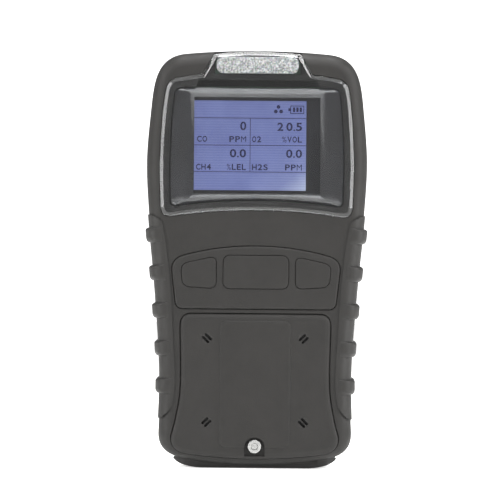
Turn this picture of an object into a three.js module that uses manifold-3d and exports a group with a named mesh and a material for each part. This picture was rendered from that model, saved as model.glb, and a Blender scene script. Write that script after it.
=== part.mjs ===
// Portable four-gas detector, standing upright on its foot.
// Millimetres. +Z is up, the display faces -Y and +X is to the right of someone reading it.
// The origin is the centre of the flat underside of the foot.
import * as THREE from "three";
import { mergeVertices } from "three/addons/utils/BufferGeometryUtils.js";
import Module from "manifold-3d";

const wasm = await Module();
wasm.setup();

// ---------------------------------------------------------------- driving dimensions

const GAP = 0.3; // between pieces that touch
const HEIGHT = 170.5; // foot to top edge
const FRONT = -18; // front face of the case
const BACK = 18; // rear face of the case
const PARTING = 2; // plane where the front half ends
const REACH = 60; // larger than the half-width of anything, for cutting blocks

const EDGE = { inset: 5.5, depth: 7, steps: 3 }; // the soft rim of the case
const CAVITY_EDGE = { inset: 1.5, depth: 2, steps: 1 };
const UPPER_WALL = 2.6;
const LOWER_WALL = 4.6; // thicker where the rubber grips are let in
const GRIP_DEPTH = 2.2; // how far the grips are let into the case
const GRIP_PROUD = 0.5;
const INNER_FRONT = -14.5; // inside faces of the front and rear walls
const INNER_BACK = 15.5;

const WINDOW = { front: -18.7, back: -16.2 };
const TAB = { back: -12.5, chamfer: { inset: 1.6, depth: 1.6, steps: 1 } };
const LIGHT = { z: 164.6, length: 33.6, height: 6.8, front: -16.4, back: -12.6 };
const BEZEL = { front: -15.9, edge: -14.6, back: -13.7, drawnIn: { across: 0.83, up: 0.84 } };
const VIEW = { halfWidth: 25.7, bottom: 112.4, top: 151.5 };
const PANEL = { left: -31.5, right: 28.8, bottom: 110.5, top: 153.2 }; // display glass
const LCD = { front: -13.2, glassBack: -11.8, backlightFront: -11.5, backlightBack: -9.5 };
const LCD_TRAY = { floor: -9.2, back: -8.2, wall: 1.3 };

const FRAME = { front: -18.8, back: -16.8 };
const KEY = { front: -19.4, flange: -16.4, back: -15.4, flangeWidth: 0.8 };
const OUTER_KEY_X = 23.4;
const KEY_CENTRE_Z = 80;
const KEY_MAT = { front: -14.2, back: -13, pinRadius: 2.2, pinEnd: -8.6 };

const COVER = { front: -19, back: -16.4, rim: { inset: 2.6, depth: 1.8, steps: 2 } };
const COVER_BAND = { halfWidth: 14.4, front: -19.4, bottom: 8.5, top: 60.5 };
const GROOVE = 0.5; // open line round the cover
const COVER_SEAL = { outer: 1.2, inner: 2.4, front: -16.1, back: -15.5 };
const SENSOR = { x: 19.7, zLow: 19, zHigh: 53.2, radius: 10.1, front: -12.9, back: 3.6 };
const SENSOR_FACE = { membrane: 4, pinCircle: 6.75, pinRadius: 0.75, pins: 3 };
const PORT = { dish: 2.15, slotLength: 3.7, slotWidth: 1.05, slotSpacing: 1.6 };
const FILTER = { radius: 3.5, pocket: 3.8, front: -17, back: -15.9 };
const CHAMBER = { halfWidth: 30.6, bottom: 9.4, top: 63.4, corner: 6 };
const GASKET = { front: -14.2, back: -13.2, hole: 7.5 };
const CAGE = { front: -9, back: -5, top: 65 };
const SENSOR_BOARD = { front: 4.9, back: 6.5 };
const INSERT = { radius: 2.3, front: -14.2, back: -8.2, clearance: 4.4 };
const COVER_SCREW = { z: 9.2, headRadius: 2.75, headFront: -19.5, headBack: -17.6, end: -9 };
const NOTCH = { halfWidth: 4.15, bottom: 5.2, top: 12.9, floor: -17.3 };

const CASE_SCREWS = [
  [-34, 158.5],
  [34, 158.5],
  [-28.5, 36],
  [28.5, 36],
];
const SCREW = { shank: 1.45, hole: 1.8, head: 2.7, headFront: 13.4, headBack: 15.6, tip: -6 };
const POST = { front: 3.2, rear: 4.2 };

const FOOT = { flat: 22, reach: 33.5, height: 4.2, front: -11, back: 15 };
const RIBS = { count: 5, first: 95, pitch: 15.35, height: 6.2, proud: 2 };

const CELL = { radius: 9.2, x: 9.9, y: 5.9, bottom: 69.6, length: 65.2 };
const CELL_FRAME = { wall: 1.5, gap: 0.5, front: -6, back: 7 };
const BOARD = { front: -7.6, back: -6, halfWidth: 28, bottom: 66.5, top: 156 };
const PROCESSOR = { halfWidth: 7, bottom: 95, top: 109, height: 1.2 };
const CONNECTOR = { halfWidth: 11, bottom: 140, top: 145, height: 2 };
const BUZZER = { x: 30.5, z: 118, radius: 6, front: 10.3, hole: 1.2 };
const MOTOR = { x: -31, y: 8, bottom: 106, length: 14, radius: 3.5, shaft: 0.6 };

const SOCKET = { z: 23.7, halfWidth: 6.2, height: 5.6, front: 6.8, back: 16.2 };
const SOCKET_MOUTH = { halfWidth: 5, height: 3.6, floor: 9 };
const FLAP = { halfWidth: 9.7, bottom: 18.4, top: 29.8, thickness: 1.3 };

const CLIP = { halfWidth: 14, bottom: 62, top: 126, front: 18.3, thickness: 1.2 };
const PIVOT = { y: 23.6, z: 118, pin: 1.5, bore: 1.85, knuckle: 2.9 };
const LEVER = { halfWidth: 12.3, knuckleInner: 6, inner: 25.3, thickness: 1.2 };
const CLIP_SCREWS_Z = [97, 108];

// ---------------------------------------------------------------- solids

// A closed three.js geometry as a solid that can be cut and joined.
function solid(geometry) {
  geometry.deleteAttribute("normal");
  geometry.deleteAttribute("uv");
  const merged = mergeVertices(geometry, 1e-4);
  return new wasm.Manifold(
    new wasm.Mesh({
      numProp: 3,
      vertProperties: merged.attributes.position.array,
      triVerts: new Uint32Array(merged.index.array),
    }),
  );
}

// The outline as a shape, without the points that lie on a straight run.
function shapeOf(outline) {
  const corners = outline.filter((point, i) => {
    const before = outline[(i + outline.length - 1) % outline.length];
    const after = outline[(i + 1) % outline.length];
    const turn = point.clone().sub(before).normalize().cross(after.clone().sub(point).normalize());
    return Math.abs(turn) > 1e-4;
  });
  return new THREE.Shape(corners);
}

// A slab with this outline in the XZ plane, with both rims rounded.
function slab(outline, yFront, yBack, edge) {
  const geometry = new THREE.ExtrudeGeometry(shapeOf(outline), {
    depth: yBack - yFront - 2 * edge.depth,
    bevelThickness: edge.depth,
    bevelSize: edge.inset,
    bevelOffset: -edge.inset,
    bevelSegments: edge.steps,
  });
  geometry.rotateX(Math.PI / 2);
  geometry.translate(0, yBack - edge.depth, 0);
  return solid(geometry);
}

// The same with square rims.
function prism(outline, yFront, yBack) {
  const geometry = new THREE.ExtrudeGeometry(shapeOf(outline), {
    depth: yBack - yFront,
    bevelEnabled: false,
  });
  geometry.rotateX(Math.PI / 2);
  geometry.translate(0, yBack, 0);
  return solid(geometry);
}

// The same with only its front rim rounded.
function plate(outline, yFront, yBack, edge) {
  const whole = slab(outline, yFront, yBack + 2 * edge.depth + 1, edge);
  return whole.intersect(block([-REACH, REACH], [yFront - 1, yBack], [-1, HEIGHT + 1]));
}

// A block between two limits along each axis.
function block([x0, x1], [y0, y1], [z0, z1]) {
  const geometry = new THREE.BoxGeometry(x1 - x0, y1 - y0, z1 - z0);
  geometry.translate((x0 + x1) / 2, (y0 + y1) / 2, (z0 + z1) / 2);
  return solid(geometry);
}

// Round bars along Y, X and Z.
function barY(x, z, radius, yFront, yBack, sides = 12) {
  const geometry = new THREE.CylinderGeometry(radius, radius, yBack - yFront, sides);
  geometry.translate(x, (yFront + yBack) / 2, z);
  return solid(geometry);
}

function barX(y, z, radius, xLeft, xRight, sides = 16) {
  const geometry = new THREE.CylinderGeometry(radius, radius, xRight - xLeft, sides);
  geometry.rotateZ(Math.PI / 2);
  geometry.translate((xLeft + xRight) / 2, y, z);
  return solid(geometry);
}

function barZ(x, y, radius, zLow, zHigh, sides = 16) {
  const geometry = new THREE.CylinderGeometry(radius, radius, zHigh - zLow, sides);
  geometry.rotateX(Math.PI / 2);
  geometry.translate(x, y, (zLow + zHigh) / 2);
  return solid(geometry);
}

function join(...solids) {
  return solids.reduce((whole, next) => whole.add(next));
}

// ---------------------------------------------------------------- outlines

const at = (x, z) => new THREE.Vector2(x, z);
const arc = (from, control, to) => new THREE.QuadraticBezierCurve(from, control, to);
const line = (from, to) => new THREE.LineCurve(from, to);

// Points along a chain of [curve, steps], each joint once.
function chain(curves) {
  const points = [];
  for (const [curve, steps] of curves) {
    points.push(...curve.getPoints(steps).slice(0, -1));
  }
  const [last] = curves[curves.length - 1];
  points.push(last.getPoint(1));
  return points;
}

// Closes a right half, which runs up from the centre line to the centre line, with its mirror image.
function mirrored(half) {
  const left = half.slice(1, -1).map((p) => at(-p.x, p.y));
  return [...half, ...left.reverse()];
}

// Moves each point of an anticlockwise outline outwards.
function grow(outline, distance) {
  return outline.map((point, i) => {
    const before = outline[(i + outline.length - 1) % outline.length];
    const after = outline[(i + 1) % outline.length];
    const along = after.clone().sub(before).normalize();
    return at(point.x + along.y * distance, point.y - along.x * distance);
  });
}

// A polygon with each corner rounded.
function rounded(corners, radius, steps = 3) {
  const points = [];
  corners.forEach((corner, i) => {
    const before = corners[(i + corners.length - 1) % corners.length];
    const after = corners[(i + 1) % corners.length];
    const start = corner.clone().add(before.clone().sub(corner).setLength(radius));
    const end = corner.clone().add(after.clone().sub(corner).setLength(radius));
    points.push(...arc(start, corner, end).getPoints(steps));
  });
  return points;
}

const rectangle = (x0, x1, z0, z1) => [at(x0, z0), at(x1, z0), at(x1, z1), at(x0, z1)];

// Widest at display height, with a waist where the hand closes round it.
const caseOutline = mirrored(
  chain([
    [arc(at(0, 1.6), at(18, 1.6), at(30.5, 4.2)), 4],
    [arc(at(30.5, 4.2), at(39.4, 6.2), at(39.5, 14)), 4],
    [
      new THREE.SplineCurve([
        at(39.5, 14),
        at(38.85, 40),
        at(41.1, 73.6),
        at(43.9, 103),
        at(45, 126),
        at(43.2, 149),
      ]),
      12,
    ],
    [
      new THREE.CubicBezierCurve(at(43.2, 149), at(42.2, 158), at(41, 168.2), at(29, 169.2)),
      6,
    ],
    [arc(at(29, 169.2), at(15, HEIGHT), at(0, HEIGHT)), 3],
  ]),
);

// The window without its tab.
const windowOutline = mirrored(
  chain([
    [arc(at(0, 105.4), at(20, 105.2), at(34, 102.9)), 3],
    [arc(at(34, 102.9), at(39, 102), at(39.2, 107.5)), 4],
    [new THREE.SplineCurve([at(39.2, 107.5), at(39.6, 125), at(38.6, 144), at(37.5, 153)]), 6],
    [arc(at(37.5, 153), at(36.8, 158.7), at(32, 159.3)), 4],
    [line(at(32, 159.3), at(22.4, 160.8)), 1],
    [line(at(22.4, 160.8), at(0, 160.8)), 1],
  ]),
);

// The black mask behind the window, narrower all round.
const bezelOutline = mirrored(
  chain([
    [arc(at(0, 109.4), at(20, 109.2), at(32.5, 107)), 3],
    [arc(at(32.5, 107), at(35.2, 106.6), at(35.3, 109.5)), 3],
    [new THREE.SplineCurve([at(35.3, 109.5), at(35.6, 125), at(34.7, 144), at(33.8, 152.5)]), 6],
    [arc(at(33.8, 152.5), at(33.4, 155.3), at(30, 155.4)), 3],
    [line(at(30, 155.4), at(0, 155.4)), 1],
  ]),
);

// The tab over the alarm light, from inside the window up to the top edge.
const tabOutline = mirrored(
  chain([
    [line(at(0, 156), at(25.2, 156)), 1],
    [line(at(25.2, 156), at(17.6, 169)), 1],
    [arc(at(17.6, 169), at(9, 170.1), at(0, 170.1)), 3],
  ]),
);

const lightOutline = rounded(
  rectangle(
    -LIGHT.length / 2,
    LIGHT.length / 2,
    LIGHT.z - LIGHT.height / 2,
    LIGHT.z + LIGHT.height / 2,
  ),
  LIGHT.height / 2 - 0.01,
  4,
);

// Arched along its top, square to the sensor cover below.
const frameOutline = mirrored(
  chain([
    [line(at(0, 65.2), at(29.5, 65.2)), 1],
    [arc(at(29.5, 65.2), at(32.4, 65.2), at(32.8, 68)), 3],
    [line(at(32.8, 68), at(34.2, 80.5)), 1],
    [arc(at(34.2, 80.5), at(34.6, 85.6), at(29, 87)), 4],
    [arc(at(29, 87), at(15, 90.8), at(0, 90.8)), 4],
  ]),
);

// The groove line round the sensor cover, flared below its waist.
const grooveOutline = mirrored(
  chain([
    [arc(at(0, 3.9), at(17, 4.2), at(29, 6.1)), 3],
    [arc(at(29, 6.1), at(34.6, 7.6), at(34.3, 13)), 4],
    [new THREE.SplineCurve([at(34.3, 13), at(32.3, 21), at(30.5, 34), at(30.8, 58)]), 6],
    [arc(at(30.8, 58), at(30.8, 63.4), at(26, 63.4)), 4],
    [line(at(26, 63.4), at(0, 63.4)), 1],
  ]),
);
const coverOutline = grow(grooveOutline, -GROOVE / 2);

// Where a grip shows, on one side: -1 is left and 1 is right. Its front edge is a long ridge.
function gripOutline(side, margin = 0) {
  const ridge = new THREE.SplineCurve([
    at(38.4, 98.2),
    at(36.8, 88),
    at(35.2, 73),
    at(34.1, 54),
    at(33.2, 37),
    at(33.8, 28),
  ]).getPoints(8);
  const points = [at(REACH, 104), at(44.2, 103.4), ...ridge, at(38.6, 20.4), at(REACH, 18)];
  const outline = side > 0 ? points : points.map((p) => at(-p.x, p.y));
  const grown = THREE.ShapeUtils.isClockWise(outline) ? outline.reverse() : outline;
  return grow(grown, margin);
}

// ---------------------------------------------------------------- the case

const caseSlab = slab(caseOutline, FRONT, BACK, EDGE);
const cavity = join(
  slab(grow(caseOutline, -LOWER_WALL), INNER_FRONT, INNER_BACK, CAVITY_EDGE),
  slab(grow(caseOutline, -UPPER_WALL), INNER_FRONT, INNER_BACK, CAVITY_EDGE).intersect(
    block([-REACH, REACH], [FRONT, BACK], [105, HEIGHT]),
  ),
);
const caseCore = slab(
  grow(caseOutline, -GRIP_DEPTH),
  FRONT + GRIP_DEPTH - 0.4,
  BACK - GRIP_DEPTH + 0.4,
  EDGE,
);

// The case with its cavity, and with the beds of the grips and the foot taken out.
function hollowCase() {
  let hollow = caseSlab.subtract(cavity);
  for (const side of [-1, 1]) {
    const bed = prism(gripOutline(side, GAP), FRONT - 1, BACK + 1).subtract(caseCore);
    hollow = hollow.subtract(bed);
  }
  const footBed = block(
    [-REACH, REACH],
    [FOOT.front - GAP, FOOT.back + GAP],
    [-1, FOOT.height + GAP],
  );
  return hollow.subtract(footBed);
}

const hollow = hollowCase();

function sensorPlaces() {
  const places = [];
  for (const x of [-SENSOR.x, SENSOR.x]) {
    for (const z of [SENSOR.zHigh, SENSOR.zLow]) {
      places.push([x, z]);
    }
  }
  return places;
}

function frontShell() {
  let shell = hollow.intersect(block([-REACH, REACH], [FRONT - 1, PARTING], [-1, HEIGHT + 1]));
  // bosses behind the wall: screws, cover screw insert and alarm light
  for (const [x, z] of CASE_SCREWS) {
    shell = shell.add(barY(x, z, POST.front, INNER_FRONT - 0.5, PARTING - GAP));
    shell = shell.subtract(barY(x, z, SCREW.hole, SCREW.tip - 1, PARTING + 1, 10));
  }
  shell = shell.add(barY(0, COVER_SCREW.z, 4, INNER_FRONT - 0.5, -7.5));
  shell = shell.subtract(barY(0, COVER_SCREW.z, 2.6, INNER_FRONT, -7, 12));
  shell = shell.add(block([-26, 26], [INNER_FRONT - 0.2, -10.6], [158.6, 168.4]));
  // beds of the window, its tab and the light
  shell = shell.subtract(prism(grow(windowOutline, GAP), FRONT - 1, WINDOW.back + GAP));
  const tabBed = mirrored([at(0, 155.6), at(25.7, 155.6), at(17.9, 169.2), at(17.9, 172), at(0, 172)]);
  shell = shell.subtract(prism(tabBed, FRONT - 1, TAB.back + GAP));
  shell = shell.subtract(block([-18, 18], [TAB.back - 1, -10], [161, 167.4]));
  shell = shell.subtract(prism(grow(bezelOutline, GAP), FRONT, INNER_FRONT + 1));
  // beds of the keypad frame and the sensor cover
  shell = shell.subtract(prism(grow(frameOutline, GAP), FRONT - 2, FRAME.back + GAP));
  shell = shell.subtract(prism(grow(frameOutline, -1.6), FRONT, INNER_FRONT + 1));
  const coverBed = grow(grooveOutline, GROOVE / 2);
  shell = shell.subtract(prism(coverBed, FRONT - 2, COVER.back + GAP));
  shell = shell.subtract(coverSealRing(GAP, FRONT, COVER_SEAL.back + GAP));
  for (const [x, z] of sensorPlaces()) {
    shell = shell.subtract(barY(x, z, 8, FRONT, INNER_FRONT + 1));
  }
  shell = shell.subtract(barY(0, COVER_SCREW.z, SCREW.hole, FRONT, INNER_FRONT + 1, 10));
  // groove for the seal between the halves
  return shell.subtract(sealRing(0.7, 2.3, PARTING - 1.3, PARTING + 1));
}

// A ring that follows the case outline, between two insets.
function sealRing(outer, inner, yFront, yBack) {
  const base = GRIP_DEPTH;
  return prism(grow(caseOutline, -base - outer), yFront, yBack).subtract(
    prism(grow(caseOutline, -base - inner), yFront - 1, yBack + 1),
  );
}

function rearShell() {
  let shell = hollow.intersect(
    block([-REACH, REACH], [PARTING + GAP, BACK + 1], [-1, HEIGHT + 1]),
  );
  for (const [x, z] of CASE_SCREWS) {
    shell = shell.add(barY(x, z, POST.rear, PARTING + GAP, INNER_BACK + 0.5));
    shell = shell.subtract(barY(x, z, SCREW.hole, PARTING - 1, BACK, 10));
    shell = shell.subtract(barY(x, z, 3.1, SCREW.headFront - GAP, BACK + 1, 16));
  }
  for (const z of CLIP_SCREWS_Z) {
    shell = shell.subtract(barY(0, z, SCREW.hole, INNER_BACK - 1, BACK + 1, 10));
  }
  // sound slots over the buzzer
  for (const step of [-1, 0, 1]) {
    const z = BUZZER.z + 2.4 * step;
    shell = shell.subtract(
      block([BUZZER.x - 3.5, BUZZER.x + 3.5], [INNER_BACK - 1, BACK + 1], [z - 0.5, z + 0.5]),
    );
  }
  // bed of the socket flap, and the way through it to the socket
  const flapBed = rounded(
    rectangle(
      -FLAP.halfWidth - GAP,
      FLAP.halfWidth + GAP,
      FLAP.bottom - GAP,
      FLAP.top + 1.4,
    ),
    1.5,
  );
  shell = shell.subtract(prism(flapBed, BACK - FLAP.thickness - GAP, BACK + 1));
  const half = SOCKET.halfWidth + GAP;
  const tall = SOCKET.height / 2 + GAP;
  return shell.subtract(
    block([-half, half], [INNER_BACK - 1, BACK + 1], [SOCKET.z - tall, SOCKET.z + tall]),
  );
}

function shellSeal() {
  return sealRing(1, 2, PARTING - 1, PARTING);
}

// Half the case's width at a height.
function caseHalfWidth(z) {
  const upper = caseOutline.findIndex((p) => p.x > 0 && p.y > z);
  const [low, high] = [caseOutline[upper - 1], caseOutline[upper]];
  return low.x + ((high.x - low.x) * (z - low.y)) / (high.y - low.y);
}

// A rubber grip pad wrapped round one side, with ribs that are sloped more below than above.
function grip(side) {
  const skin = slab(
    grow(caseOutline, GRIP_PROUD),
    FRONT - GRIP_PROUD,
    BACK + GRIP_PROUD,
    EDGE,
  ).intersect(prism(gripOutline(side), FRONT - 2, BACK + 2));
  const ribSkin = slab(grow(caseOutline, RIBS.proud), FRONT + 0.2, BACK - 0.2, EDGE);
  let pad = skin;
  for (let i = 0; i < RIBS.count; i++) {
    const z = RIBS.first - i * RIBS.pitch;
    const half = RIBS.height / 2;
    const face = caseHalfWidth(z);
    const lug = [
      at(side * (face - 9), z + half),
      at(side * (face + 1.4), z + half),
      at(side * (face + 3), z + half - 1.8),
      at(side * (face + 3), z - half + 3),
      at(side * (face + 0.6), z - half),
      at(side * (face - 9), z - half),
    ];
    pad = pad.add(ribSkin.intersect(prism(lug, FRONT, BACK)));
  }
  pad = pad.intersect(prism(gripOutline(side), FRONT - 2, BACK + 2));
  const bed = slab(
    grow(caseOutline, GAP - GRIP_DEPTH),
    FRONT + GRIP_DEPTH - 0.4 - GAP,
    BACK - GRIP_DEPTH + 0.4 + GAP,
    EDGE,
  );
  return pad.subtract(bed);
}

function baseFoot() {
  const half = chain([
    [line(at(0, 0), at(FOOT.flat, 0)), 1],
    [arc(at(FOOT.flat, 0), at(30, 0.4), at(FOOT.reach, FOOT.height - 0.6)), 4],
    [line(at(FOOT.reach, FOOT.height - 0.6), at(FOOT.reach - 1, FOOT.height)), 1],
    [line(at(FOOT.reach - 1, FOOT.height), at(0, FOOT.height)), 1],
  ]);
  return prism(mirrored(half), FOOT.front, FOOT.back);
}

function caseScrew([x, z]) {
  const head = barY(x, z, SCREW.head, SCREW.headFront, SCREW.headBack);
  const shank = barY(x, z, SCREW.shank, SCREW.tip, SCREW.headFront + 1, 10);
  const socket = barY(x, z, 1.3, SCREW.headBack - 1.2, SCREW.headBack + 1, 6);
  return head.add(shank).subtract(socket);
}

// ---------------------------------------------------------------- window, light and display

function displayWindow() {
  const pane = plate(windowOutline, WINDOW.front, WINDOW.back, { inset: 1, depth: 0.8, steps: 2 });
  const tab = plate(tabOutline, WINDOW.front, TAB.back, TAB.chamfer);
  const top = block([-REACH, REACH], [WINDOW.front, TAB.back], [160.4, HEIGHT]);
  const inTab = block([-REACH, REACH], [WINDOW.front, WINDOW.back], [150, HEIGHT]);
  const lightBed = prism(grow(lightOutline, GAP), LIGHT.front - GAP, TAB.back + 1);
  return pane.add(tab.intersect(top.add(inTab))).subtract(lightBed);
}

function alarmDiffuser() {
  return prism(lightOutline, LIGHT.front, LIGHT.back);
}

function alarmLedBoard() {
  const board = block([-17.5, 17.5], [-10.3, -9.1], [160.5, 167]);
  let lit = board;
  for (const x of [-12, -4, 4, 12]) {
    lit = lit.add(block([x - 1.4, x + 1.4], [-11.4, -10.2], [163.2, 166]));
  }
  return lit;
}

// The outline between two depths, its front face drawn in towards the centre line and a height.
function tapered(outline, yFront, yBack, drawnIn, middle) {
  const depth = yBack - yFront;
  const geometry = new THREE.ExtrudeGeometry(shapeOf(outline), { depth, bevelEnabled: false });
  const points = geometry.attributes.position;
  for (let i = 0; i < points.count; i++) {
    if (points.getZ(i) > depth / 2) {
      points.setX(i, points.getX(i) * drawnIn.across);
      points.setY(i, middle + (points.getY(i) - middle) * drawnIn.up);
    }
  }
  geometry.rotateX(Math.PI / 2);
  geometry.translate(0, yBack, 0);
  return solid(geometry);
}

// The mask over the display: four faces that slope back from the opening to its edge.
function displayBezel() {
  const { halfWidth, bottom, top } = VIEW;
  const middle = (bottom + top) / 2;
  const faces = tapered(bezelOutline, BEZEL.front, BEZEL.edge, BEZEL.drawnIn, middle);
  const sheet = faces.add(prism(bezelOutline, BEZEL.edge, BEZEL.back));
  const opening = rectangle(-halfWidth, halfWidth, bottom, top);
  return sheet.subtract(prism(opening, BEZEL.front - 1, BEZEL.back + 1));
}

const panelOutline = rectangle(PANEL.left, PANEL.right, PANEL.bottom, PANEL.top);

function lcdGlass() {
  return prism(panelOutline, LCD.front, LCD.glassBack);
}

function lcdBacklight() {
  return prism(panelOutline, LCD.backlightFront, LCD.backlightBack);
}

function lcdHolder() {
  const tray = prism(grow(rounded(panelOutline, 0.6, 1), LCD_TRAY.wall), LCD.front, LCD_TRAY.back);
  const { left, right, bottom, top } = PANEL;
  const pocket = rectangle(left - GAP, right + GAP, bottom - GAP, top + GAP);
  return tray.subtract(prism(pocket, LCD.front - 1, LCD_TRAY.floor));
}

// ---------------------------------------------------------------- keypad

const centreKey = rounded([at(-13.3, 73.5), at(13.3, 73.5), at(13.3, 87), at(-13.3, 87)], 3);

function outerKey(side) {
  const corners = [at(16.2, 73.5), at(29.8, 74.3), at(30.6, 83.4), at(16.2, 86.6)];
  const turned = side > 0 ? corners : corners.map((p) => at(-p.x, p.y)).reverse();
  return rounded(turned, 3);
}

const keyOutlines = { key_left: outerKey(-1), key_centre: centreKey, key_right: outerKey(1) };

function keypadFrame() {
  let frame = plate(frameOutline, FRAME.front, FRAME.back, { inset: 1, depth: 0.7, steps: 2 });
  for (const outline of Object.values(keyOutlines)) {
    frame = frame.subtract(prism(grow(outline, GAP), FRAME.front - 1, FRAME.back + 1));
  }
  return frame;
}

// A key cap with a flange behind the frame that keeps it in.
function key(outline) {
  const cap = plate(outline, KEY.front, KEY.back, { inset: 0.7, depth: 0.5, steps: 2 });
  return cap.add(prism(grow(outline, KEY.flangeWidth), KEY.flange, KEY.back));
}

function keypadMat() {
  const { front, back, pinRadius, pinEnd } = KEY_MAT;
  let mat = prism(grow(frameOutline, -0.4), front, back);
  for (const x of [-OUTER_KEY_X, 0, OUTER_KEY_X]) {
    mat = mat.add(barY(x, KEY_CENTRE_Z, pinRadius, back - 0.5, pinEnd));
  }
  return mat;
}

// ---------------------------------------------------------------- sensor cover and its screw

// Two parallel slots in a shallow dish, pointing at the middle of the four ports.
function portCut([x, z]) {
  const middle = (SENSOR.zHigh + SENSOR.zLow) / 2;
  const slope = Math.sign(x) * Math.sign(z - middle) * (Math.PI / 4);
  const dish = barY(x, z, PORT.dish, COVER.front - 1, COVER.front + 0.5, 20);
  return [-1, 1].reduce((cut, step) => {
    const slot = new THREE.BoxGeometry(PORT.slotLength, 6, PORT.slotWidth);
    slot.translate(0, 0, (step * PORT.slotSpacing) / 2);
    slot.rotateY(-slope);
    slot.translate(x, COVER.front + 1.5, z);
    return cut.add(solid(slot));
  }, dish);
}

function sensorCover() {
  let cover = plate(coverOutline, COVER.front, COVER.back, COVER.rim);
  const band = rounded(
    rectangle(
      -COVER_BAND.halfWidth,
      COVER_BAND.halfWidth,
      COVER_BAND.bottom,
      COVER_BAND.top,
    ),
    1,
    1,
  );
  cover = cover.add(
    plate(band, COVER_BAND.front, COVER.back - 1, { inset: 0.5, depth: 0.4, steps: 1 }),
  );
  for (const [x, z] of sensorPlaces()) {
    cover = cover.subtract(portCut([x, z]));
    cover = cover.subtract(barY(x, z, FILTER.pocket, FILTER.front - GAP, COVER.back + 1));
  }
  const { halfWidth, bottom, top, floor } = NOTCH;
  const straight = block([-halfWidth, halfWidth], [COVER.front - 2, floor], [bottom, top - halfWidth]);
  const round = barY(0, top - halfWidth, halfWidth, COVER.front - 2, floor, 20);
  cover = cover.subtract(straight).subtract(round);
  return cover.subtract(barY(0, COVER_SCREW.z, SCREW.hole, FRONT - 2, COVER.back + 1, 10));
}

// A flat ring behind the cover's rim, with a margin round it.
function coverSealRing(margin, yFront, yBack) {
  const outer = grow(coverOutline, margin - COVER_SEAL.outer);
  const inner = grow(coverOutline, -margin - COVER_SEAL.inner);
  return prism(outer, yFront, yBack).subtract(prism(inner, yFront - 1, yBack + 1));
}

function sensorCoverSeal() {
  return coverSealRing(0, COVER_SEAL.front, COVER_SEAL.back);
}

function coverScrew() {
  const { z, headRadius, headFront, headBack, end } = COVER_SCREW;
  const head = plate(circle(0, z, headRadius, 20), headFront, headBack, {
    inset: 0.3,
    depth: 0.3,
    steps: 1,
  });
  const shank = barY(0, z, SCREW.shank, headBack - 0.5, end, 10);
  const socket = barY(0, z, 1.45, headFront - 1, headFront + 1.2, 6);
  return head.add(shank).subtract(socket);
}

function circle(x, z, radius, sides) {
  return Array.from({ length: sides }, (_, i) => {
    const angle = (2 * Math.PI * i) / sides;
    return at(x + radius * Math.cos(angle), z + radius * Math.sin(angle));
  });
}

function coverScrewInsert() {
  const { radius, front, back } = INSERT;
  const sleeve = barY(0, COVER_SCREW.z, radius, front, back);
  return sleeve.subtract(barY(0, COVER_SCREW.z, SCREW.hole, front - 1, back + 1, 10));
}

// ---------------------------------------------------------------- sensors

function portFilter([x, z]) {
  return barY(x, z, FILTER.radius, FILTER.front, FILTER.back);
}

// A sensor can with a raised membrane ring in front and three pins behind.
function sensor([x, z]) {
  let can = barY(x, z, SENSOR.radius, SENSOR.front, SENSOR.back, 18);
  const { membrane, pinCircle, pinRadius, pins } = SENSOR_FACE;
  can = can.subtract(barY(x, z, membrane, SENSOR.front - 1, SENSOR.front + 0.6, 16));
  for (let i = 0; i < pins; i++) {
    const angle = Math.PI / 2 + (2 * Math.PI * i) / pins;
    const pinX = x + pinCircle * Math.cos(angle);
    const pinZ = z + pinCircle * Math.sin(angle);
    can = can.add(barY(pinX, pinZ, pinRadius, SENSOR.back - 0.5, SENSOR.back + 1, 8));
  }
  return can;
}

const chamber = rounded(
  rectangle(-CHAMBER.halfWidth, CHAMBER.halfWidth, CHAMBER.bottom, CHAMBER.top),
  CHAMBER.corner,
);

function aroundPosts(sheet, yFront, yBack, radius) {
  let cut = sheet;
  for (const [x, z] of CASE_SCREWS) {
    cut = cut.subtract(barY(x, z, radius, yFront - 1, yBack + 1, 14));
  }
  return cut;
}

function sensorGasket() {
  const { front, back, hole } = GASKET;
  let sheet = prism(chamber, front, back);
  for (const [x, z] of sensorPlaces()) {
    sheet = sheet.subtract(barY(x, z, hole, front - 1, back + 1));
  }
  sheet = sheet.subtract(barY(0, COVER_SCREW.z, INSERT.clearance, front - 1, back + 1, 14));
  return aroundPosts(sheet, front, back, POST.front + 0.4);
}

function sensorHolder() {
  const { front, back, top } = CAGE;
  let cage = prism(grow(caseOutline, -LOWER_WALL - 0.5), front, back).intersect(
    block([-REACH, REACH], [front - 1, back + 1], [0, top]),
  );
  for (const [x, z] of sensorPlaces()) {
    cage = cage.subtract(barY(x, z, SENSOR.radius + 0.4, front - 1, back + 1, 18));
  }
  cage = cage.subtract(barY(0, COVER_SCREW.z, INSERT.clearance, front - 1, back + 1, 14));
  return aroundPosts(cage, front, back, POST.front + 0.4);
}

function sensorBoard() {
  const { front, back } = SENSOR_BOARD;
  return aroundPosts(prism(chamber, front, back), front, back, POST.rear + 0.4);
}

// ---------------------------------------------------------------- electronics

function mainBoard() {
  const { front, back, halfWidth, bottom, top } = BOARD;
  let board = prism(rounded(rectangle(-halfWidth, halfWidth, bottom, top), 2, 2), front, back);
  for (const x of [-OUTER_KEY_X, 0, OUTER_KEY_X]) {
    board = board.add(barY(x, KEY_CENTRE_Z, 2.5, front - 0.6, front + 0.5));
  }
  return [PROCESSOR, CONNECTOR].reduce((built, chip) => {
    const across = [-chip.halfWidth, chip.halfWidth];
    return built.add(block(across, [back - 0.5, back + chip.height], [chip.bottom, chip.top]));
  }, board);
}

function batteryCell(side) {
  const x = side * CELL.x;
  const top = CELL.bottom + CELL.length;
  const can = barZ(x, CELL.y, CELL.radius, CELL.bottom, top - 1, 24);
  return can.add(barZ(x, CELL.y, 3, top - 2, top, 12));
}

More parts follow.
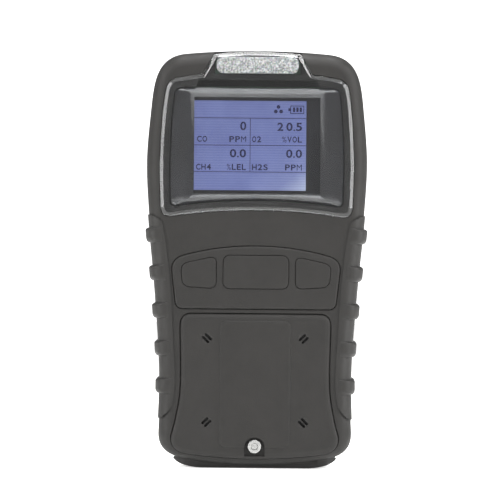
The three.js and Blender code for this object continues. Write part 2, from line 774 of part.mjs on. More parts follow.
// A frame round both cells, open in front and behind.
function batteryHolder() {
  const { wall, gap, front, back } = CELL_FRAME;
  const half = CELL.x + CELL.radius + gap;
  const bottom = CELL.bottom - gap;
  const top = CELL.bottom + CELL.length + gap;
  const depth = [CELL.y + front, CELL.y + back];
  const outer = block([-half - wall, half + wall], depth, [bottom - wall, top + wall]);
  return outer.subtract(block([-half, half], [depth[0] - 1, depth[1] + 1], [bottom, top]));
}

function buzzer() {
  const { x, z, radius, front, hole } = BUZZER;
  const can = barY(x, z, radius, front, INNER_BACK - GAP, 20);
  return can.subtract(barY(x, z, hole, front + 2.7, BACK, 10));
}

function vibrationMotor() {
  const { x, y, bottom, length, radius, shaft } = MOTOR;
  const top = bottom + length;
  return barZ(x, y, radius, bottom, top, 16).subtract(
    barZ(x, y, shaft + GAP, bottom + 3, top + 1, 10),
  );
}

// Half a disc on a shaft that runs down into the motor.
function vibrationWeight() {
  const { x, y, bottom, length, shaft } = MOTOR;
  const top = bottom + length;
  const disc = barZ(x, y, 3.2, top + 0.8, top + 4.8, 16);
  const half = disc.subtract(block([x - 5, x + 5], [y + 0.7, y + 5], [top, top + 6]));
  return half.add(barZ(x, y, shaft, bottom + 4, top + 5.4, 8));
}

// ---------------------------------------------------------------- charging socket and its flap

function chargeSocket() {
  const { z, halfWidth, height, front, back } = SOCKET;
  const mouth = SOCKET_MOUTH;
  const shell = block([-halfWidth, halfWidth], [front, back], [z - height / 2, z + height / 2]);
  return shell.subtract(
    block(
      [-mouth.halfWidth, mouth.halfWidth],
      [mouth.floor, back + 1],
      [z - mouth.height / 2, z + mouth.height / 2],
    ),
  );
}

function socketFlap() {
  const outline = rounded(
    rectangle(-FLAP.halfWidth, FLAP.halfWidth, FLAP.bottom, FLAP.top),
    1.4,
    2,
  );
  const sheet = prism(outline, BACK - FLAP.thickness, BACK);
  const plug = block([-4.2, 4.2], [BACK - FLAP.thickness - 1.6, BACK - 1], [23.4, 24.8]);
  const tab = block([-3, 3], [BACK - 0.5, BACK + 0.7], [FLAP.bottom + 0.6, FLAP.bottom + 2]);
  return join(sheet, plug, tab);
}

// ---------------------------------------------------------------- belt clip

function clipPlate() {
  const back = CLIP.front + CLIP.thickness;
  const outline = rounded(
    rectangle(-CLIP.halfWidth, CLIP.halfWidth, CLIP.bottom, CLIP.top),
    3,
  );
  let sheet = prism(outline, CLIP.front, back);
  for (const side of [-1, 1]) {
    const faces = [side * (CLIP.halfWidth - 1.2), side * CLIP.halfWidth];
    const ear = [Math.min(...faces), Math.max(...faces)];
    sheet = sheet.add(block(ear, [CLIP.front, PIVOT.y + 3], [PIVOT.z - 4.5, PIVOT.z + 4]));
  }
  sheet = sheet.subtract(barX(PIVOT.y, PIVOT.z, PIVOT.bore, -REACH, REACH, 12));
  for (const z of CLIP_SCREWS_Z) {
    sheet = sheet.subtract(barY(0, z, SCREW.hole, CLIP.front - 1, back + 1, 10));
  }
  return sheet;
}

// The sheet-metal lever seen from the side, as its inner face from thumb pad to lip.
function leverProfile() {
  const inner = [
    new THREE.Vector2(28.2, 133),
    new THREE.Vector2(26.4, 126),
    new THREE.Vector2(LEVER.inner, 119),
    new THREE.Vector2(LEVER.inner, 80),
    new THREE.Vector2(24.4, 74),
    new THREE.Vector2(20.1, 67.5),
    new THREE.Vector2(22.2, 62),
  ];
  const outer = inner.map((point, i) => {
    const before = inner[Math.max(i - 1, 0)];
    const after = inner[Math.min(i + 1, inner.length - 1)];
    const along = after.clone().sub(before).normalize();
    return new THREE.Vector2(
      point.x - along.y * LEVER.thickness,
      point.y + along.x * LEVER.thickness,
    );
  });
  return [...inner, ...outer.reverse()];
}

function clipLever() {
  const strip = new THREE.ExtrudeGeometry(new THREE.Shape(leverProfile()), {
    depth: 2 * LEVER.halfWidth,
    bevelEnabled: false,
  });
  // profile x is Y and profile y is Z, so the extrusion turns to run along X
  strip.rotateX(Math.PI / 2);
  strip.rotateZ(Math.PI / 2);
  strip.translate(-LEVER.halfWidth, 0, 0);
  const springSlot = block([-5.4, 5.4], [20, 30], [PIVOT.z - 5, PIVOT.z + 5]);
  let lever = solid(strip).subtract(springSlot);
  for (const side of [-1, 1]) {
    const ends = [side * LEVER.knuckleInner, side * LEVER.halfWidth];
    const [left, right] = [Math.min(...ends), Math.max(...ends)];
    lever = lever.add(barX(PIVOT.y, PIVOT.z, PIVOT.knuckle, left, right));
  }
  return lever.subtract(barX(PIVOT.y, PIVOT.z, PIVOT.bore, -REACH, REACH, 14));
}

function clipPin() {
  const end = CLIP.halfWidth + 0.8;
  const pin = barX(PIVOT.y, PIVOT.z, PIVOT.pin, -end, end, 12);
  const heads = [-1, 1].map((side) => {
    const faces = [side * (CLIP.halfWidth + GAP), side * (end + 0.4)];
    return barX(PIVOT.y, PIVOT.z, 2.2, Math.min(...faces), Math.max(...faces), 12);
  });
  return join(pin, ...heads);
}

// Torsion spring: a coil round the pin with a leg that lies along the plate.
function clipSpring() {
  const turns = 4;
  const radius = 2.55;
  const steps = turns * 8;
  const points = [];
  for (let i = 0; i <= steps; i++) {
    const angle = (2 * Math.PI * turns * i) / steps - Math.PI / 2;
    const x = -4 + (8 * i) / steps;
    points.push(
      new THREE.Vector3(x, PIVOT.y + radius * Math.sin(angle), PIVOT.z - radius * Math.cos(angle)),
    );
  }
  points.push(new THREE.Vector3(4.3, PIVOT.y - radius - 0.4, PIVOT.z - 4));
  points.push(new THREE.Vector3(4.3, PIVOT.y - radius - 0.4, PIVOT.z - 8));
  const wire = new THREE.Shape(circle(0, 0, 0.4, 5));
  return solid(
    new THREE.ExtrudeGeometry(wire, {
      steps: steps + 6,
      bevelEnabled: false,
      extrudePath: new THREE.CatmullRomCurve3(points),
    }),
  );
}

function clipScrew(z) {
  const back = CLIP.front + CLIP.thickness;
  const head = barY(0, z, 2.5, back + GAP, back + 1.3, 14);
  const shank = barY(0, z, SCREW.shank, INNER_BACK + 0.4, back + 1, 10);
  return head.add(shank).subtract(barY(0, z, 1.2, back + 0.7, back + 2, 6));
}

// ---------------------------------------------------------------- the assembly

const CASE_PLASTIC = [0x4b4a47, 0.62, 0];
const RUBBER = [0x3b3b3a, 0.85, 0];
const KEY_RUBBER = [0x464542, 0.75, 0];
const CLEAR = [0xdfe6e8, 0.08, 0];
const BLACK_GLOSS = [0x0d0f12, 0.15, 0];
const STEEL = [0xb9bcc0, 0.3, 1];
const BRASS = [0xb79a55, 0.35, 1];
const BOARD_GREEN = [0x1f5a35, 0.5, 0];
const INNER_PLASTIC = [0x2a2b2d, 0.6, 0];
const SENSOR_WHITE = [0xe4e2da, 0.5, 0];
const FILTER_GREY = [0x24241f, 0.9, 0];

const detector = new THREE.Group();

function piece(name, made, [color, roughness, metalness]) {
  const { vertProperties, triVerts } = made.getMesh();
  const geometry = new THREE.BufferGeometry();
  geometry.setAttribute("position", new THREE.BufferAttribute(vertProperties, 3));
  geometry.setIndex(new THREE.BufferAttribute(triVerts, 1));
  geometry.computeVertexNormals();
  const material = new THREE.MeshStandardMaterial({ color, roughness, metalness });
  const mesh = new THREE.Mesh(geometry, material);
  mesh.name = name;
  detector.add(mesh);
}

piece("front_shell", frontShell(), CASE_PLASTIC);
piece("rear_shell", rearShell(), CASE_PLASTIC);
piece("shell_seal", shellSeal(), RUBBER);
piece("grip_left", grip(-1), RUBBER);
piece("grip_right", grip(1), RUBBER);
piece("base_foot", baseFoot(), RUBBER);
CASE_SCREWS.forEach((place, i) => piece(`case_screw_${i + 1}`, caseScrew(place), STEEL));

piece("display_window", displayWindow(), CLEAR);
piece("alarm_diffuser", alarmDiffuser(), SENSOR_WHITE);
piece("alarm_led_board", alarmLedBoard(), BOARD_GREEN);
piece("display_bezel", displayBezel(), BLACK_GLOSS);
piece("lcd_glass", lcdGlass(), [0x8f96d8, 0.1, 0]);
piece("lcd_backlight", lcdBacklight(), SENSOR_WHITE);
piece("lcd_holder", lcdHolder(), INNER_PLASTIC);

piece("keypad_frame", keypadFrame(), CASE_PLASTIC);
for (const [name, outline] of Object.entries(keyOutlines)) {
  piece(name, key(outline), KEY_RUBBER);
}
piece("keypad_mat", keypadMat(), RUBBER);

piece("sensor_cover", sensorCover(), CASE_PLASTIC);
piece("sensor_cover_seal", sensorCoverSeal(), RUBBER);
piece("cover_screw", coverScrew(), STEEL);
piece("cover_screw_insert", coverScrewInsert(), BRASS);
sensorPlaces().forEach((place, i) => piece(`port_filter_${i + 1}`, portFilter(place), FILTER_GREY));
piece("sensor_gasket", sensorGasket(), RUBBER);
["sensor_co", "sensor_ch4", "sensor_o2", "sensor_h2s"].forEach((name, i) =>
  piece(name, sensor(sensorPlaces()[i]), SENSOR_WHITE),
);
piece("sensor_holder", sensorHolder(), INNER_PLASTIC);
piece("sensor_board", sensorBoard(), BOARD_GREEN);

piece("main_board", mainBoard(), BOARD_GREEN);
piece("battery_cell_1", batteryCell(-1), [0x2f6fb0, 0.45, 0]);
piece("battery_cell_2", batteryCell(1), [0x2f6fb0, 0.45, 0]);
piece("battery_holder", batteryHolder(), INNER_PLASTIC);
piece("buzzer", buzzer(), INNER_PLASTIC);
piece("vibration_motor", vibrationMotor(), STEEL);
piece("vibration_weight", vibrationWeight(), STEEL);
piece("charge_socket", chargeSocket(), STEEL);
piece("socket_flap", socketFlap(), RUBBER);

piece("clip_plate", clipPlate(), STEEL);
piece("clip_lever", clipLever(), STEEL);
piece("clip_pin", clipPin(), STEEL);
piece("clip_spring", clipSpring(), STEEL);
CLIP_SCREWS_Z.forEach((z, i) => piece(`clip_screw_${i + 1}`, clipScrew(z), STEEL));

export default detector;
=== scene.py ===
"""Portable four-gas detector: the looks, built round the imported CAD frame.

Shapes are worked out in millimetres in the frame's axes (+Z up, the display faces -Y) and
scaled to metres as each piece is finished. Depths and places come from the frame's boxes.
"""

import math

import bmesh
import bpy
from mathutils import Matrix, Vector


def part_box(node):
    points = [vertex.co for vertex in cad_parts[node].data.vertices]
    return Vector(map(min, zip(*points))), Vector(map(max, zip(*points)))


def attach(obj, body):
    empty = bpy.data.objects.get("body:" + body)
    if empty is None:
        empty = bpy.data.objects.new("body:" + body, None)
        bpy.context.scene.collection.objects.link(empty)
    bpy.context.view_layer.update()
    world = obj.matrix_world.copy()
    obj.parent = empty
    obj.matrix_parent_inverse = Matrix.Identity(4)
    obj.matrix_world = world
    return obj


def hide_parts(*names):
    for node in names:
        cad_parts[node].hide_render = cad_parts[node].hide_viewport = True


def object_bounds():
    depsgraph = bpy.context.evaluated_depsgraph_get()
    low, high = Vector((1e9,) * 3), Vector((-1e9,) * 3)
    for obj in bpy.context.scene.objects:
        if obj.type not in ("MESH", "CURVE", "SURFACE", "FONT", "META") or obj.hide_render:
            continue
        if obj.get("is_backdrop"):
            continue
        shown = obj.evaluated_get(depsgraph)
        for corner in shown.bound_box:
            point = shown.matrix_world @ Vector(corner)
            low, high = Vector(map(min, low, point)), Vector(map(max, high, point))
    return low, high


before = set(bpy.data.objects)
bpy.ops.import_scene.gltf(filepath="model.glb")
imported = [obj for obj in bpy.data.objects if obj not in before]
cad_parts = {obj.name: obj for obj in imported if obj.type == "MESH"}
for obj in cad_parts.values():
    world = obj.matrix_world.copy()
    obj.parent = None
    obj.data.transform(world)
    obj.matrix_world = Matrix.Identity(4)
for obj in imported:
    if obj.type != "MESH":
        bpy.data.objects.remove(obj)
cad_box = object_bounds()

MM = 0.001


def span(node):
    """Lowest and highest corner of a CAD node, in millimetres."""
    low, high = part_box(node)
    return low / MM, high / MM


def middle(node):
    """Centre of a CAD node's box as x, y, z, in millimetres."""
    return [(low + high) / 2 for low, high in zip(*span(node))]


def add_object(name, data):
    made = bpy.data.objects.new(name, data)
    bpy.context.scene.collection.objects.link(made)
    return made


# ---------------------------------------------------------------- driving values

SEAM = 0.1  # shown between fitted parts
REACH = 60  # larger than the half-width of anything
RIM_STEPS = 10  # rings in a rounded rim

shell_low, _ = span("front_shell")
_, shell_high = span("rear_shell")
FRONT = shell_low.y
BACK = shell_high.y
HEIGHT = shell_high.z
PARTING = span("shell_seal")[1].y
INNER_FRONT = FRONT + 3.5
INNER_BACK = BACK - 2.5

EDGE = (5.5, 7)  # inset and depth of the soft rim of the case
CAVITY_EDGE = (1.5, 2)
UPPER_WALL = 2.6
LOWER_WALL = 4.6
THICK_WALL_TOP = 105
GRIP_DEPTH = 2.2
GRIP_THINNING = 0.4  # a grip is thinner by this in front and behind than at the side
GRIP_PROUD = 0.5
LUG_PROUD = 2

CASE_SCREWS = ((-34, 158.5), (34, 158.5), (-28.5, 36), (28.5, 36))
CLIP_SCREWS_Z = (97, 108)
SCREW_HOLE = 1.8
SCREW_SHANK = 1.45
HEAD_HOLE = 3.1
FRONT_POST = 3.2
REAR_POST = 4.2
PANE_DEPTH = 1.8
SOUND_SLOTS = {"pitch": 2.4, "size": (7, 1)}
SOFT_EDGE = 0.35  # radius where a bed meets the face of the case


# ---------------------------------------------------------------- outlines


def at(x, z):
    return Vector((x, z))


def fractions(steps):
    return [i / steps for i in range(steps + 1)]


def line(start, end):
    return [start, end]


def arc(start, control, end, steps=14):
    return [start.lerp(control, t).lerp(control.lerp(end, t), t) for t in fractions(steps)]


def cubic(a, b, c, d, steps=26):
    points = []
    for t in fractions(steps):
        left = a.lerp(b, t).lerp(b.lerp(c, t), t)
        right = b.lerp(c, t).lerp(c.lerp(d, t), t)
        points.append(left.lerp(right, t))
    return points


def spline(points, steps=14):
    """A smooth curve through the points, with this many steps between each two."""
    curve = []
    last = len(points) - 1
    for i in range(last):
        start, end = points[i], points[i + 1]
        leave = (end - points[max(i - 1, 0)]) / 2
        arrive = (points[min(i + 2, last)] - start) / 2
        for t in fractions(steps)[:-1]:
            curve.append(
                start * (2 * t**3 - 3 * t**2 + 1)
                + leave * (t**3 - 2 * t**2 + t)
                + end * (3 * t**2 - 2 * t**3)
                + arrive * (t**3 - t**2)
            )
    return curve + [points[-1]]


def heading(path, i):
    """Which way a path runs at one of its points."""
    return (path[min(i + 1, len(path) - 1)] - path[max(i - 1, 0)]).normalized()


def chain(*runs):
    """The runs end to end, each joint once."""
    points = []
    for run in runs:
        points += run[:-1]
    return points + [runs[-1][-1]]


def mirrored(half):
    """Closes a right half, which runs up from centre line to centre line, with its mirror image."""
    return half + [at(-p.x, p.y) for p in reversed(half[1:-1])]


def grow(outline, distance):
    """Moves each side of an anticlockwise outline outwards by the distance."""
    grown = []
    for i, point in enumerate(outline):
        coming = (point - outline[i - 1]).normalized()
        going = (outline[(i + 1) % len(outline)] - point).normalized()
        along = (coming + going).normalized()
        stretch = 1 / max(along.dot(going), 0.5)
        grown.append(point + Vector((along.y, -along.x)) * distance * stretch)
    return grown


def rounded(corners, radius, steps=8):
    points = []
    for i, corner in enumerate(corners):
        before = corners[i - 1] - corner
        after = corners[(i + 1) % len(corners)] - corner
        points += arc(
            corner + before.normalized() * radius, corner, corner + after.normalized() * radius, steps
        )
    return points


def rectangle(x0, x1, z0, z1):
    return [at(x0, z0), at(x1, z0), at(x1, z1), at(x0, z1)]


def outline_of(node, margin=0.0):
    """The rectangle of a CAD node's box seen from the front, with a margin round it."""
    low, high = span(node)
    return rectangle(low.x - margin, high.x + margin, low.z - margin, high.z + margin)


def circle(x, z, radius, sides=40):
    turns = [2 * math.pi * i / sides for i in range(sides)]
    return [at(x + radius * math.cos(turn), z + radius * math.sin(turn)) for turn in turns]


def stadium(x, z, length, width, slope):
    """A slot with round ends, its middle at x and z, turned by the slope in radians."""
    half = (length - width) / 2
    points = []
    for end in (1, -1):
        for i in range(9):
            turn = math.pi * (i / 8 - 0.5)
            points.append(at(end * (half + width / 2 * math.cos(turn)), end * width / 2 * math.sin(turn)))
    return [Matrix.Rotation(slope, 2) @ p + at(x, z) for p in points]


CASE_SIDE = [at(39.5, 14), at(38.85, 40), at(41.1, 73.6), at(43.9, 103), at(45, 126), at(43.2, 149)]

case_outline = mirrored(
    chain(
        arc(at(0, 1.6), at(18, 1.6), at(30.5, 4.2)),
        arc(at(30.5, 4.2), at(39.4, 6.2), at(39.5, 14)),
        spline(CASE_SIDE),
        cubic(at(43.2, 149), at(42.2, 158), at(41, 168.2), at(29, 169.2)),
        arc(at(29, 169.2), at(15, HEIGHT), at(0, HEIGHT)),
    )
)

window_outline = mirrored(
    chain(
        arc(at(0, 105.4), at(20, 105.2), at(34, 102.9)),
        arc(at(34, 102.9), at(39, 102), at(39.2, 107.5)),
        spline([at(39.2, 107.5), at(39.6, 125), at(38.6, 144), at(37.5, 153)]),
        arc(at(37.5, 153), at(36.8, 158.7), at(32, 159.3)),
        line(at(32, 159.3), at(22.4, 160.8)),
        line(at(22.4, 160.8), at(0, 160.8)),
    )
)

bezel_outline = mirrored(
    chain(
        arc(at(0, 109.4), at(20, 109.2), at(32.5, 107)),
        arc(at(32.5, 107), at(35.2, 106.6), at(35.3, 109.5)),
        spline([at(35.3, 109.5), at(35.6, 125), at(34.7, 144), at(33.8, 152.5)]),
        arc(at(33.8, 152.5), at(33.4, 155.3), at(30, 155.4)),
        line(at(30, 155.4), at(0, 155.4)),
    )
)

tab_outline = mirrored(
    chain(
        line(at(0, 156), at(25.2, 156)),
        line(at(25.2, 156), at(17.6, 169)),
        arc(at(17.6, 169), at(9, 170.1), at(0, 170.1)),
    )
)

tab_bed = mirrored([at(0, 155.6), at(25.5, 155.6), at(17.8, 169.1), at(17.8, 172), at(0, 172)])

frame_outline = mirrored(
    chain(
        line(at(0, 65.2), at(29.5, 65.2)),
        arc(at(29.5, 65.2), at(32.4, 65.2), at(32.8, 68)),
        line(at(32.8, 68), at(34.2, 80.5)),
        arc(at(34.2, 80.5), at(34.6, 85.6), at(29, 87)),
        arc(at(29, 87), at(15, 90.8), at(0, 90.8)),
    )
)

groove_outline = mirrored(
    chain(
        arc(at(0, 3.9), at(17, 4.2), at(29, 6.1)),
        arc(at(29, 6.1), at(34.6, 7.6), at(34.3, 13)),
        spline([at(34.3, 13), at(32.3, 21), at(30.5, 34), at(30.8, 58)]),
        arc(at(30.8, 58), at(30.8, 63.4), at(26, 63.4)),
        line(at(26, 63.4), at(0, 63.4)),
    )
)


def grip_outline(side, margin=0.0):
    """Where a grip shows, on one side: -1 is left and 1 is right."""
    ridge = spline(
        [at(38.4, 98.2), at(36.8, 88), at(35.2, 73), at(34.1, 54), at(33.2, 37), at(33.8, 28)], 8
    )
    upper = arc(at(44.2, 103.4), at(38.9, 102.6), at(38.4, 98.2), 8)
    lower = arc(at(33.8, 28), at(34.6, 22.6), at(38.6, 20.4), 8)
    points = chain(line(at(REACH, 104), at(44.2, 103.4)), upper, ridge, lower)
    points.append(at(REACH, 18))
    if side < 0:
        return grow([at(-p.x, p.y) for p in points], margin)
    return grow(list(reversed(points)), margin)


def key_outline(side):
    """The centre key, or an outer one."""
    if side == 0:
        return rounded(rectangle(-13.3, 13.3, 73.5, 87), 3)
    corners = [at(16.2, 73.5), at(29.8, 74.3), at(30.6, 83.4), at(16.2, 86.6)]
    if side < 0:
        corners = [at(-p.x, p.y) for p in reversed(corners)]
    return rounded(corners, 3)


KEYS = {"key_left": -1, "key_centre": 0, "key_right": 1}


# ---------------------------------------------------------------- solids


def solid_of(rings):
    """A closed solid through rings of the same number of points, in millimetres."""
    count = len(rings[0])
    verts = [tuple(point) for ring in rings for point in ring]
    faces = [tuple(range(count)), tuple(reversed(range(len(verts) - count, len(verts))))]
    for start in range(0, len(verts) - count, count):
        for i in range(count):
            j = (i + 1) % count
            faces.append((start + i, start + count + i, start + count + j, start + j))
    mesh = bpy.data.meshes.new("solid")
    mesh.from_pydata(verts, [], faces)
    return add_object("solid", mesh)


def ring_at(outline, y):
    return [(p.x, y, p.y) for p in outline]


def loft(outline, profile):
    """The outline carried back along Y. Profile is (how far it grows, y) from front to back."""
    return solid_of([ring_at(grow(outline, offset), y) for offset, y in profile])


def quarter(steps=RIM_STEPS):
    """(1 - sine, 1 - cosine) over a quarter turn, for a rounded rim."""
    turns = [t * math.pi / 2 for t in fractions(steps)]
    return [(1 - math.sin(turn), 1 - math.cos(turn)) for turn in turns]


def rim(y, inset, depth, steps=RIM_STEPS):
    """Profile of a rounded rim that starts at y. A negative depth ends there instead."""
    rings = [(-inset * across, y + depth * down) for across, down in quarter(steps)]
    return rings if depth > 0 else list(reversed(rings))


def prism(outline, front, back):
    return loft(outline, [(0, front), (0, back)])


def plate(outline, front, back, inset, depth):
    """A plate with a rounded front rim and a barely broken back one."""
    return loft(outline, rim(front, inset, depth) + [(0, back - 0.1), (-0.1, back)])


def pillow(outline, front, back, inset, depth):
    return loft(outline, rim(front, inset, depth) + rim(back, inset, -depth))


def bed(outline, surface, floor, radius=SOFT_EDGE):
    """A cutter for a hole that goes in from the surface, with a rounded mouth."""
    return loft(outline, [(radius, surface - 2)] + rim(surface, -radius, radius, 5) + [(0, floor)])


def block(x, y, z):
    """A box between two limits along each axis."""
    return prism(rectangle(x[0], x[1], z[0], z[1]), y[0], y[1])


SPIN = {  # two directions across each axis
    "X": ((0, 1, 0), (0, 0, 1)),
    "Y": ((0, 0, 1), (1, 0, 0)),
    "Z": ((1, 0, 0), (0, 1, 0)),
}


def turned(profile, centre, axis, sides=36):
    """A body of revolution. Profile is (how far along the axis, radius), low to high."""
    side, up = SPIN[axis]
    ahead = Vector(side).cross(Vector(up))
    rings = []
    for along, radius in profile:
        ring = []
        for i in range(sides):
            turn = -2 * math.pi * i / sides
            spoke = Vector(side) * math.cos(turn) + Vector(up) * math.sin(turn)
            ring.append(Vector(centre) + ahead * along + spoke * radius)
        rings.append(ring)
    return solid_of(rings)


def rounded_bar(low, high, radius, edge):
    """Profile of a bar with rounded ends, for turned()."""
    start = [(low + edge * down, radius - edge * across) for across, down in quarter(4)]
    end = [(high - edge * down, radius - edge * across) for across, down in reversed(quarter(4))]
    return start + end


def settle(obj):
    """Applies an object's modifiers."""
    evaluated = obj.evaluated_get(bpy.context.evaluated_depsgraph_get())
    mesh = bpy.data.meshes.new_from_object(evaluated)
    obj.modifiers.clear()
    obj.data = mesh
    return obj


def merge_flat_faces(mesh):
    """Joins the slivers that cutting leaves in flat faces, which would shade unevenly."""
    shape = bmesh.new()
    shape.from_mesh(mesh)
    bmesh.ops.dissolve_degenerate(shape, dist=0.002, edges=shape.edges)
    flat = math.radians(0.03)
    bmesh.ops.dissolve_limit(shape, angle_limit=flat, verts=shape.verts, edges=shape.edges)
    shape.to_mesh(mesh)
    shape.free()


def combine(base, tools, operation):
    for tool in tools:
        modifier = base.modifiers.new("combine", "BOOLEAN")
        modifier.operation = operation
        modifier.solver = "MANIFOLD"
        modifier.object = tool
    settle(base)
    for tool in tools:
        bpy.data.objects.remove(tool)
    return base


def cut(base, *tools):
    return combine(base, tools, "DIFFERENCE")


def join(base, *tools):
    return combine(base, tools, "UNION")


def common(base, *tools):
    return combine(base, tools, "INTERSECT")


# ---------------------------------------------------------------- materials


class Look:
    """A Principled material under construction, with short ways to add nodes."""

    def __init__(self, name, roughness, metallic=0.0):
        self.material = bpy.data.materials.new(name)
        self.material.use_nodes = True
        self.tree = self.material.node_tree
        self.shader = self.tree.nodes["Principled BSDF"]
        self.shader.inputs["Roughness"].default_value = roughness
        self.shader.inputs["Metallic"].default_value = metallic
        self.place = self.tree.nodes.new("ShaderNodeTexCoord").outputs["Object"]

    def link(self, source, target):
        self.tree.links.new(source, target)

    def scaled(self, x, y, z):
        """Object coordinates times these factors, for a grain that runs one way."""
        mapping = self.tree.nodes.new("ShaderNodeMapping")
        mapping.inputs["Scale"].default_value = (x, y, z)
        self.link(self.place, mapping.inputs["Vector"])
        return mapping.outputs["Vector"]

    def noise(self, size, detail=2.0, place=None):
        """Noise with features of this size, in millimetres."""
        node = self.tree.nodes.new("ShaderNodeTexNoise")
        node.inputs["Scale"].default_value = 1 / (size * MM)
        node.inputs["Detail"].default_value = detail
        self.link(place or self.place, node.inputs["Vector"])
        return node.outputs["Fac"]

    def cells(self, size, output="Distance", place=None):
        node = self.tree.nodes.new("ShaderNodeTexVoronoi")
        node.inputs["Scale"].default_value = 1 / (size * MM)
        self.link(place or self.place, node.inputs["Vector"])
        return node.outputs[output]

    def ramp(self, factor, *stops):
        """Colours by factor. Each stop is (position, colour)."""
        node = self.tree.nodes.new("ShaderNodeValToRGB")
        elements = node.color_ramp.elements
        while len(elements) < len(stops):
            elements.new(0.5)
        for element, (position, colour) in zip(elements, stops):
            element.position = position
            element.color = (*colour, 1)
        self.link(factor, node.inputs["Fac"])
        return node.outputs["Color"]

    def range(self, factor, low, high, start=0.3, end=0.7):
        """Maps the usual span of a noise to low..high."""
        node = self.tree.nodes.new("ShaderNodeMapRange")
        node.inputs["From Min"].default_value = start
        node.inputs["From Max"].default_value = end
        node.inputs["To Min"].default_value = low
        node.inputs["To Max"].default_value = high
        self.link(factor, node.inputs["Value"])
        return node.outputs["Result"]

    def tones(self, size, detail, dark, light):
        """Noise of this size between two colours."""
        return self.ramp(self.noise(size, detail), (0.3, dark), (0.7, light))

    def mix(self, factor, first, second, blend="MIX"):
        node = self.tree.nodes.new("ShaderNodeMix")
        node.data_type = "RGBA"
        node.blend_type = blend
        colours = [socket for socket in node.inputs if socket.type == "RGBA"]
        if isinstance(factor, float):
            node.inputs["Factor"].default_value = factor
        else:
            self.link(factor, node.inputs["Factor"])
        self.link(first, colours[0])
        self.link(second, colours[1])
        return [socket for socket in node.outputs if socket.type == "RGBA"][0]

    def colour(self, socket):
        self.link(socket, self.shader.inputs["Base Color"])

    def roughness(self, socket):
        self.link(socket, self.shader.inputs["Roughness"])

    def worn(self, size, detail, low, high):
        """Roughness that varies between two values with noise of this size."""
        self.roughness(self.range(self.noise(size, detail), low, high))

    def bump(self, *layers):
        """Relief from (height socket, depth in millimetres) layers, on top of each other."""
        below = None
        for height, depth in layers:
            node = self.tree.nodes.new("ShaderNodeBump")
            node.inputs["Distance"].default_value = depth * MM
            self.link(height, node.inputs["Height"])
            if below:
                self.link(below, node.inputs["Normal"])
            below = node.outputs["Normal"]
        self.link(below, self.shader.inputs["Normal"])

    def set(self, name, value):
        self.shader.inputs[name].default_value = value


def shade(colour, factor):
    return tuple(channel * factor for channel in colour)


def moulded(name, colour, roughness, grain=0.35, depth=0.03, variation=0.12, shine=0.25):
    """Moulded plastic or rubber: spark-eroded grain, cloudy tone, and faint rubbed patches."""
    look = Look(name, roughness)
    clouds = look.noise(14, 3)
    tone = look.ramp(clouds, (0.35, shade(colour, 1 - variation)), (0.65, shade(colour, 1 + variation)))
    dust = look.tones(grain * 1.5, 4, shade(colour, 0.85), shade(colour, 1.15))
    look.colour(look.mix(0.35, tone, dust))
    look.worn(5, 5, roughness - 0.05, roughness + 0.07)
    look.set("Specular IOR Level", shine)
    look.bump((look.noise(grain, 2), depth), (look.cells(grain * 1.6), depth * 0.6))
    return look.material


def metal(name, colour, roughness, grain=(1, 1, 1), depth=0.004):
    """Worked metal. Grain is how much finer the marks are along each axis."""
    look = Look(name, roughness, metallic=1)
    place = look.scaled(*grain)
    marks = look.noise(0.5, 4, place)
    look.colour(look.tones(3, 4, shade(colour, 0.88), colour))
    look.roughness(look.range(marks, roughness - 0.06, roughness + 0.14))
    look.bump((marks, depth))
    return look.material


def clear_plastic():
    look = Look("clear_window", 0.03)
    look.set("Transmission Weight", 1.0)
    look.set("IOR", 1.49)
    look.set("Base Color", (0.93, 0.94, 0.95, 1))
    look.worn(2.5, 6, 0.0, 0.02)
    look.bump((look.noise(9, 1), 0.02))
    return look.material


def black_gloss():
    """Back-printed mask: glossy, with a slightly wavy face."""
    look = Look("black_gloss", 0.16)
    look.colour(look.tones(6, 4, (0.006, 0.006, 0.008), (0.014, 0.014, 0.017)))
    look.set("Specular IOR Level", 0.8)
    look.worn(1.2, 5, 0.1, 0.24)
    look.bump((look.noise(7, 1, look.scaled(3, 1, 0.4)), 0.05))
    return look.material


def diffuser():
    """Frosted lens over the alarm light, full of bright flakes."""
    look = Look("light_bar", 0.35)
    flakes = look.cells(0.42, "Color")
    dark, middle, bright = (0.13, 0.145, 0.14), (0.36, 0.36, 0.355), (0.74, 0.74, 0.72)
    tone = look.ramp(look.noise(0.7, 4), (0.32, dark), (0.5, middle), (0.7, bright))
    look.colour(look.mix(0.25, tone, flakes, "SOFT_LIGHT"))
    look.worn(0.5, 3, 0.2, 0.5)
    look.bump((look.cells(0.42), 0.12), (look.noise(0.3, 3), 0.05))
    return look.material


def circuit_board():
    """Solder mask with copper runs showing through as a faint grid."""
    look = Look("circuit_board", 0.4)
    paths = look.cells(2.2, place=look.scaled(1, 1, 0.35))
    runs = look.ramp(paths, (0.05, (0.03, 0.1, 0.045)), (0.2, (0.01, 0.045, 0.02)))
    mask = look.tones(3, 4, (0.008, 0.035, 0.015), (0.015, 0.055, 0.025))
    look.colour(look.mix(0.5, runs, mask))
    look.worn(1.5, 4, 0.3, 0.5)
    look.bump((paths, 0.04))
    return look.material


def battery_wrap():
    """Shrink-wrap film over a cell, with soft creases round it."""
    look = Look("battery", 0.35)
    look.colour(look.tones(8, 3, (0.02, 0.1, 0.3), (0.03, 0.14, 0.38)))
    look.worn(2, 4, 0.25, 0.5)
    look.bump((look.noise(3, 2, look.scaled(0.5, 0.5, 3)), 0.08))
    return look.material


CASE_COLOUR = (0.0105, 0.0098, 0.009)
GRIP_COLOUR = (0.011, 0.0103, 0.0095)

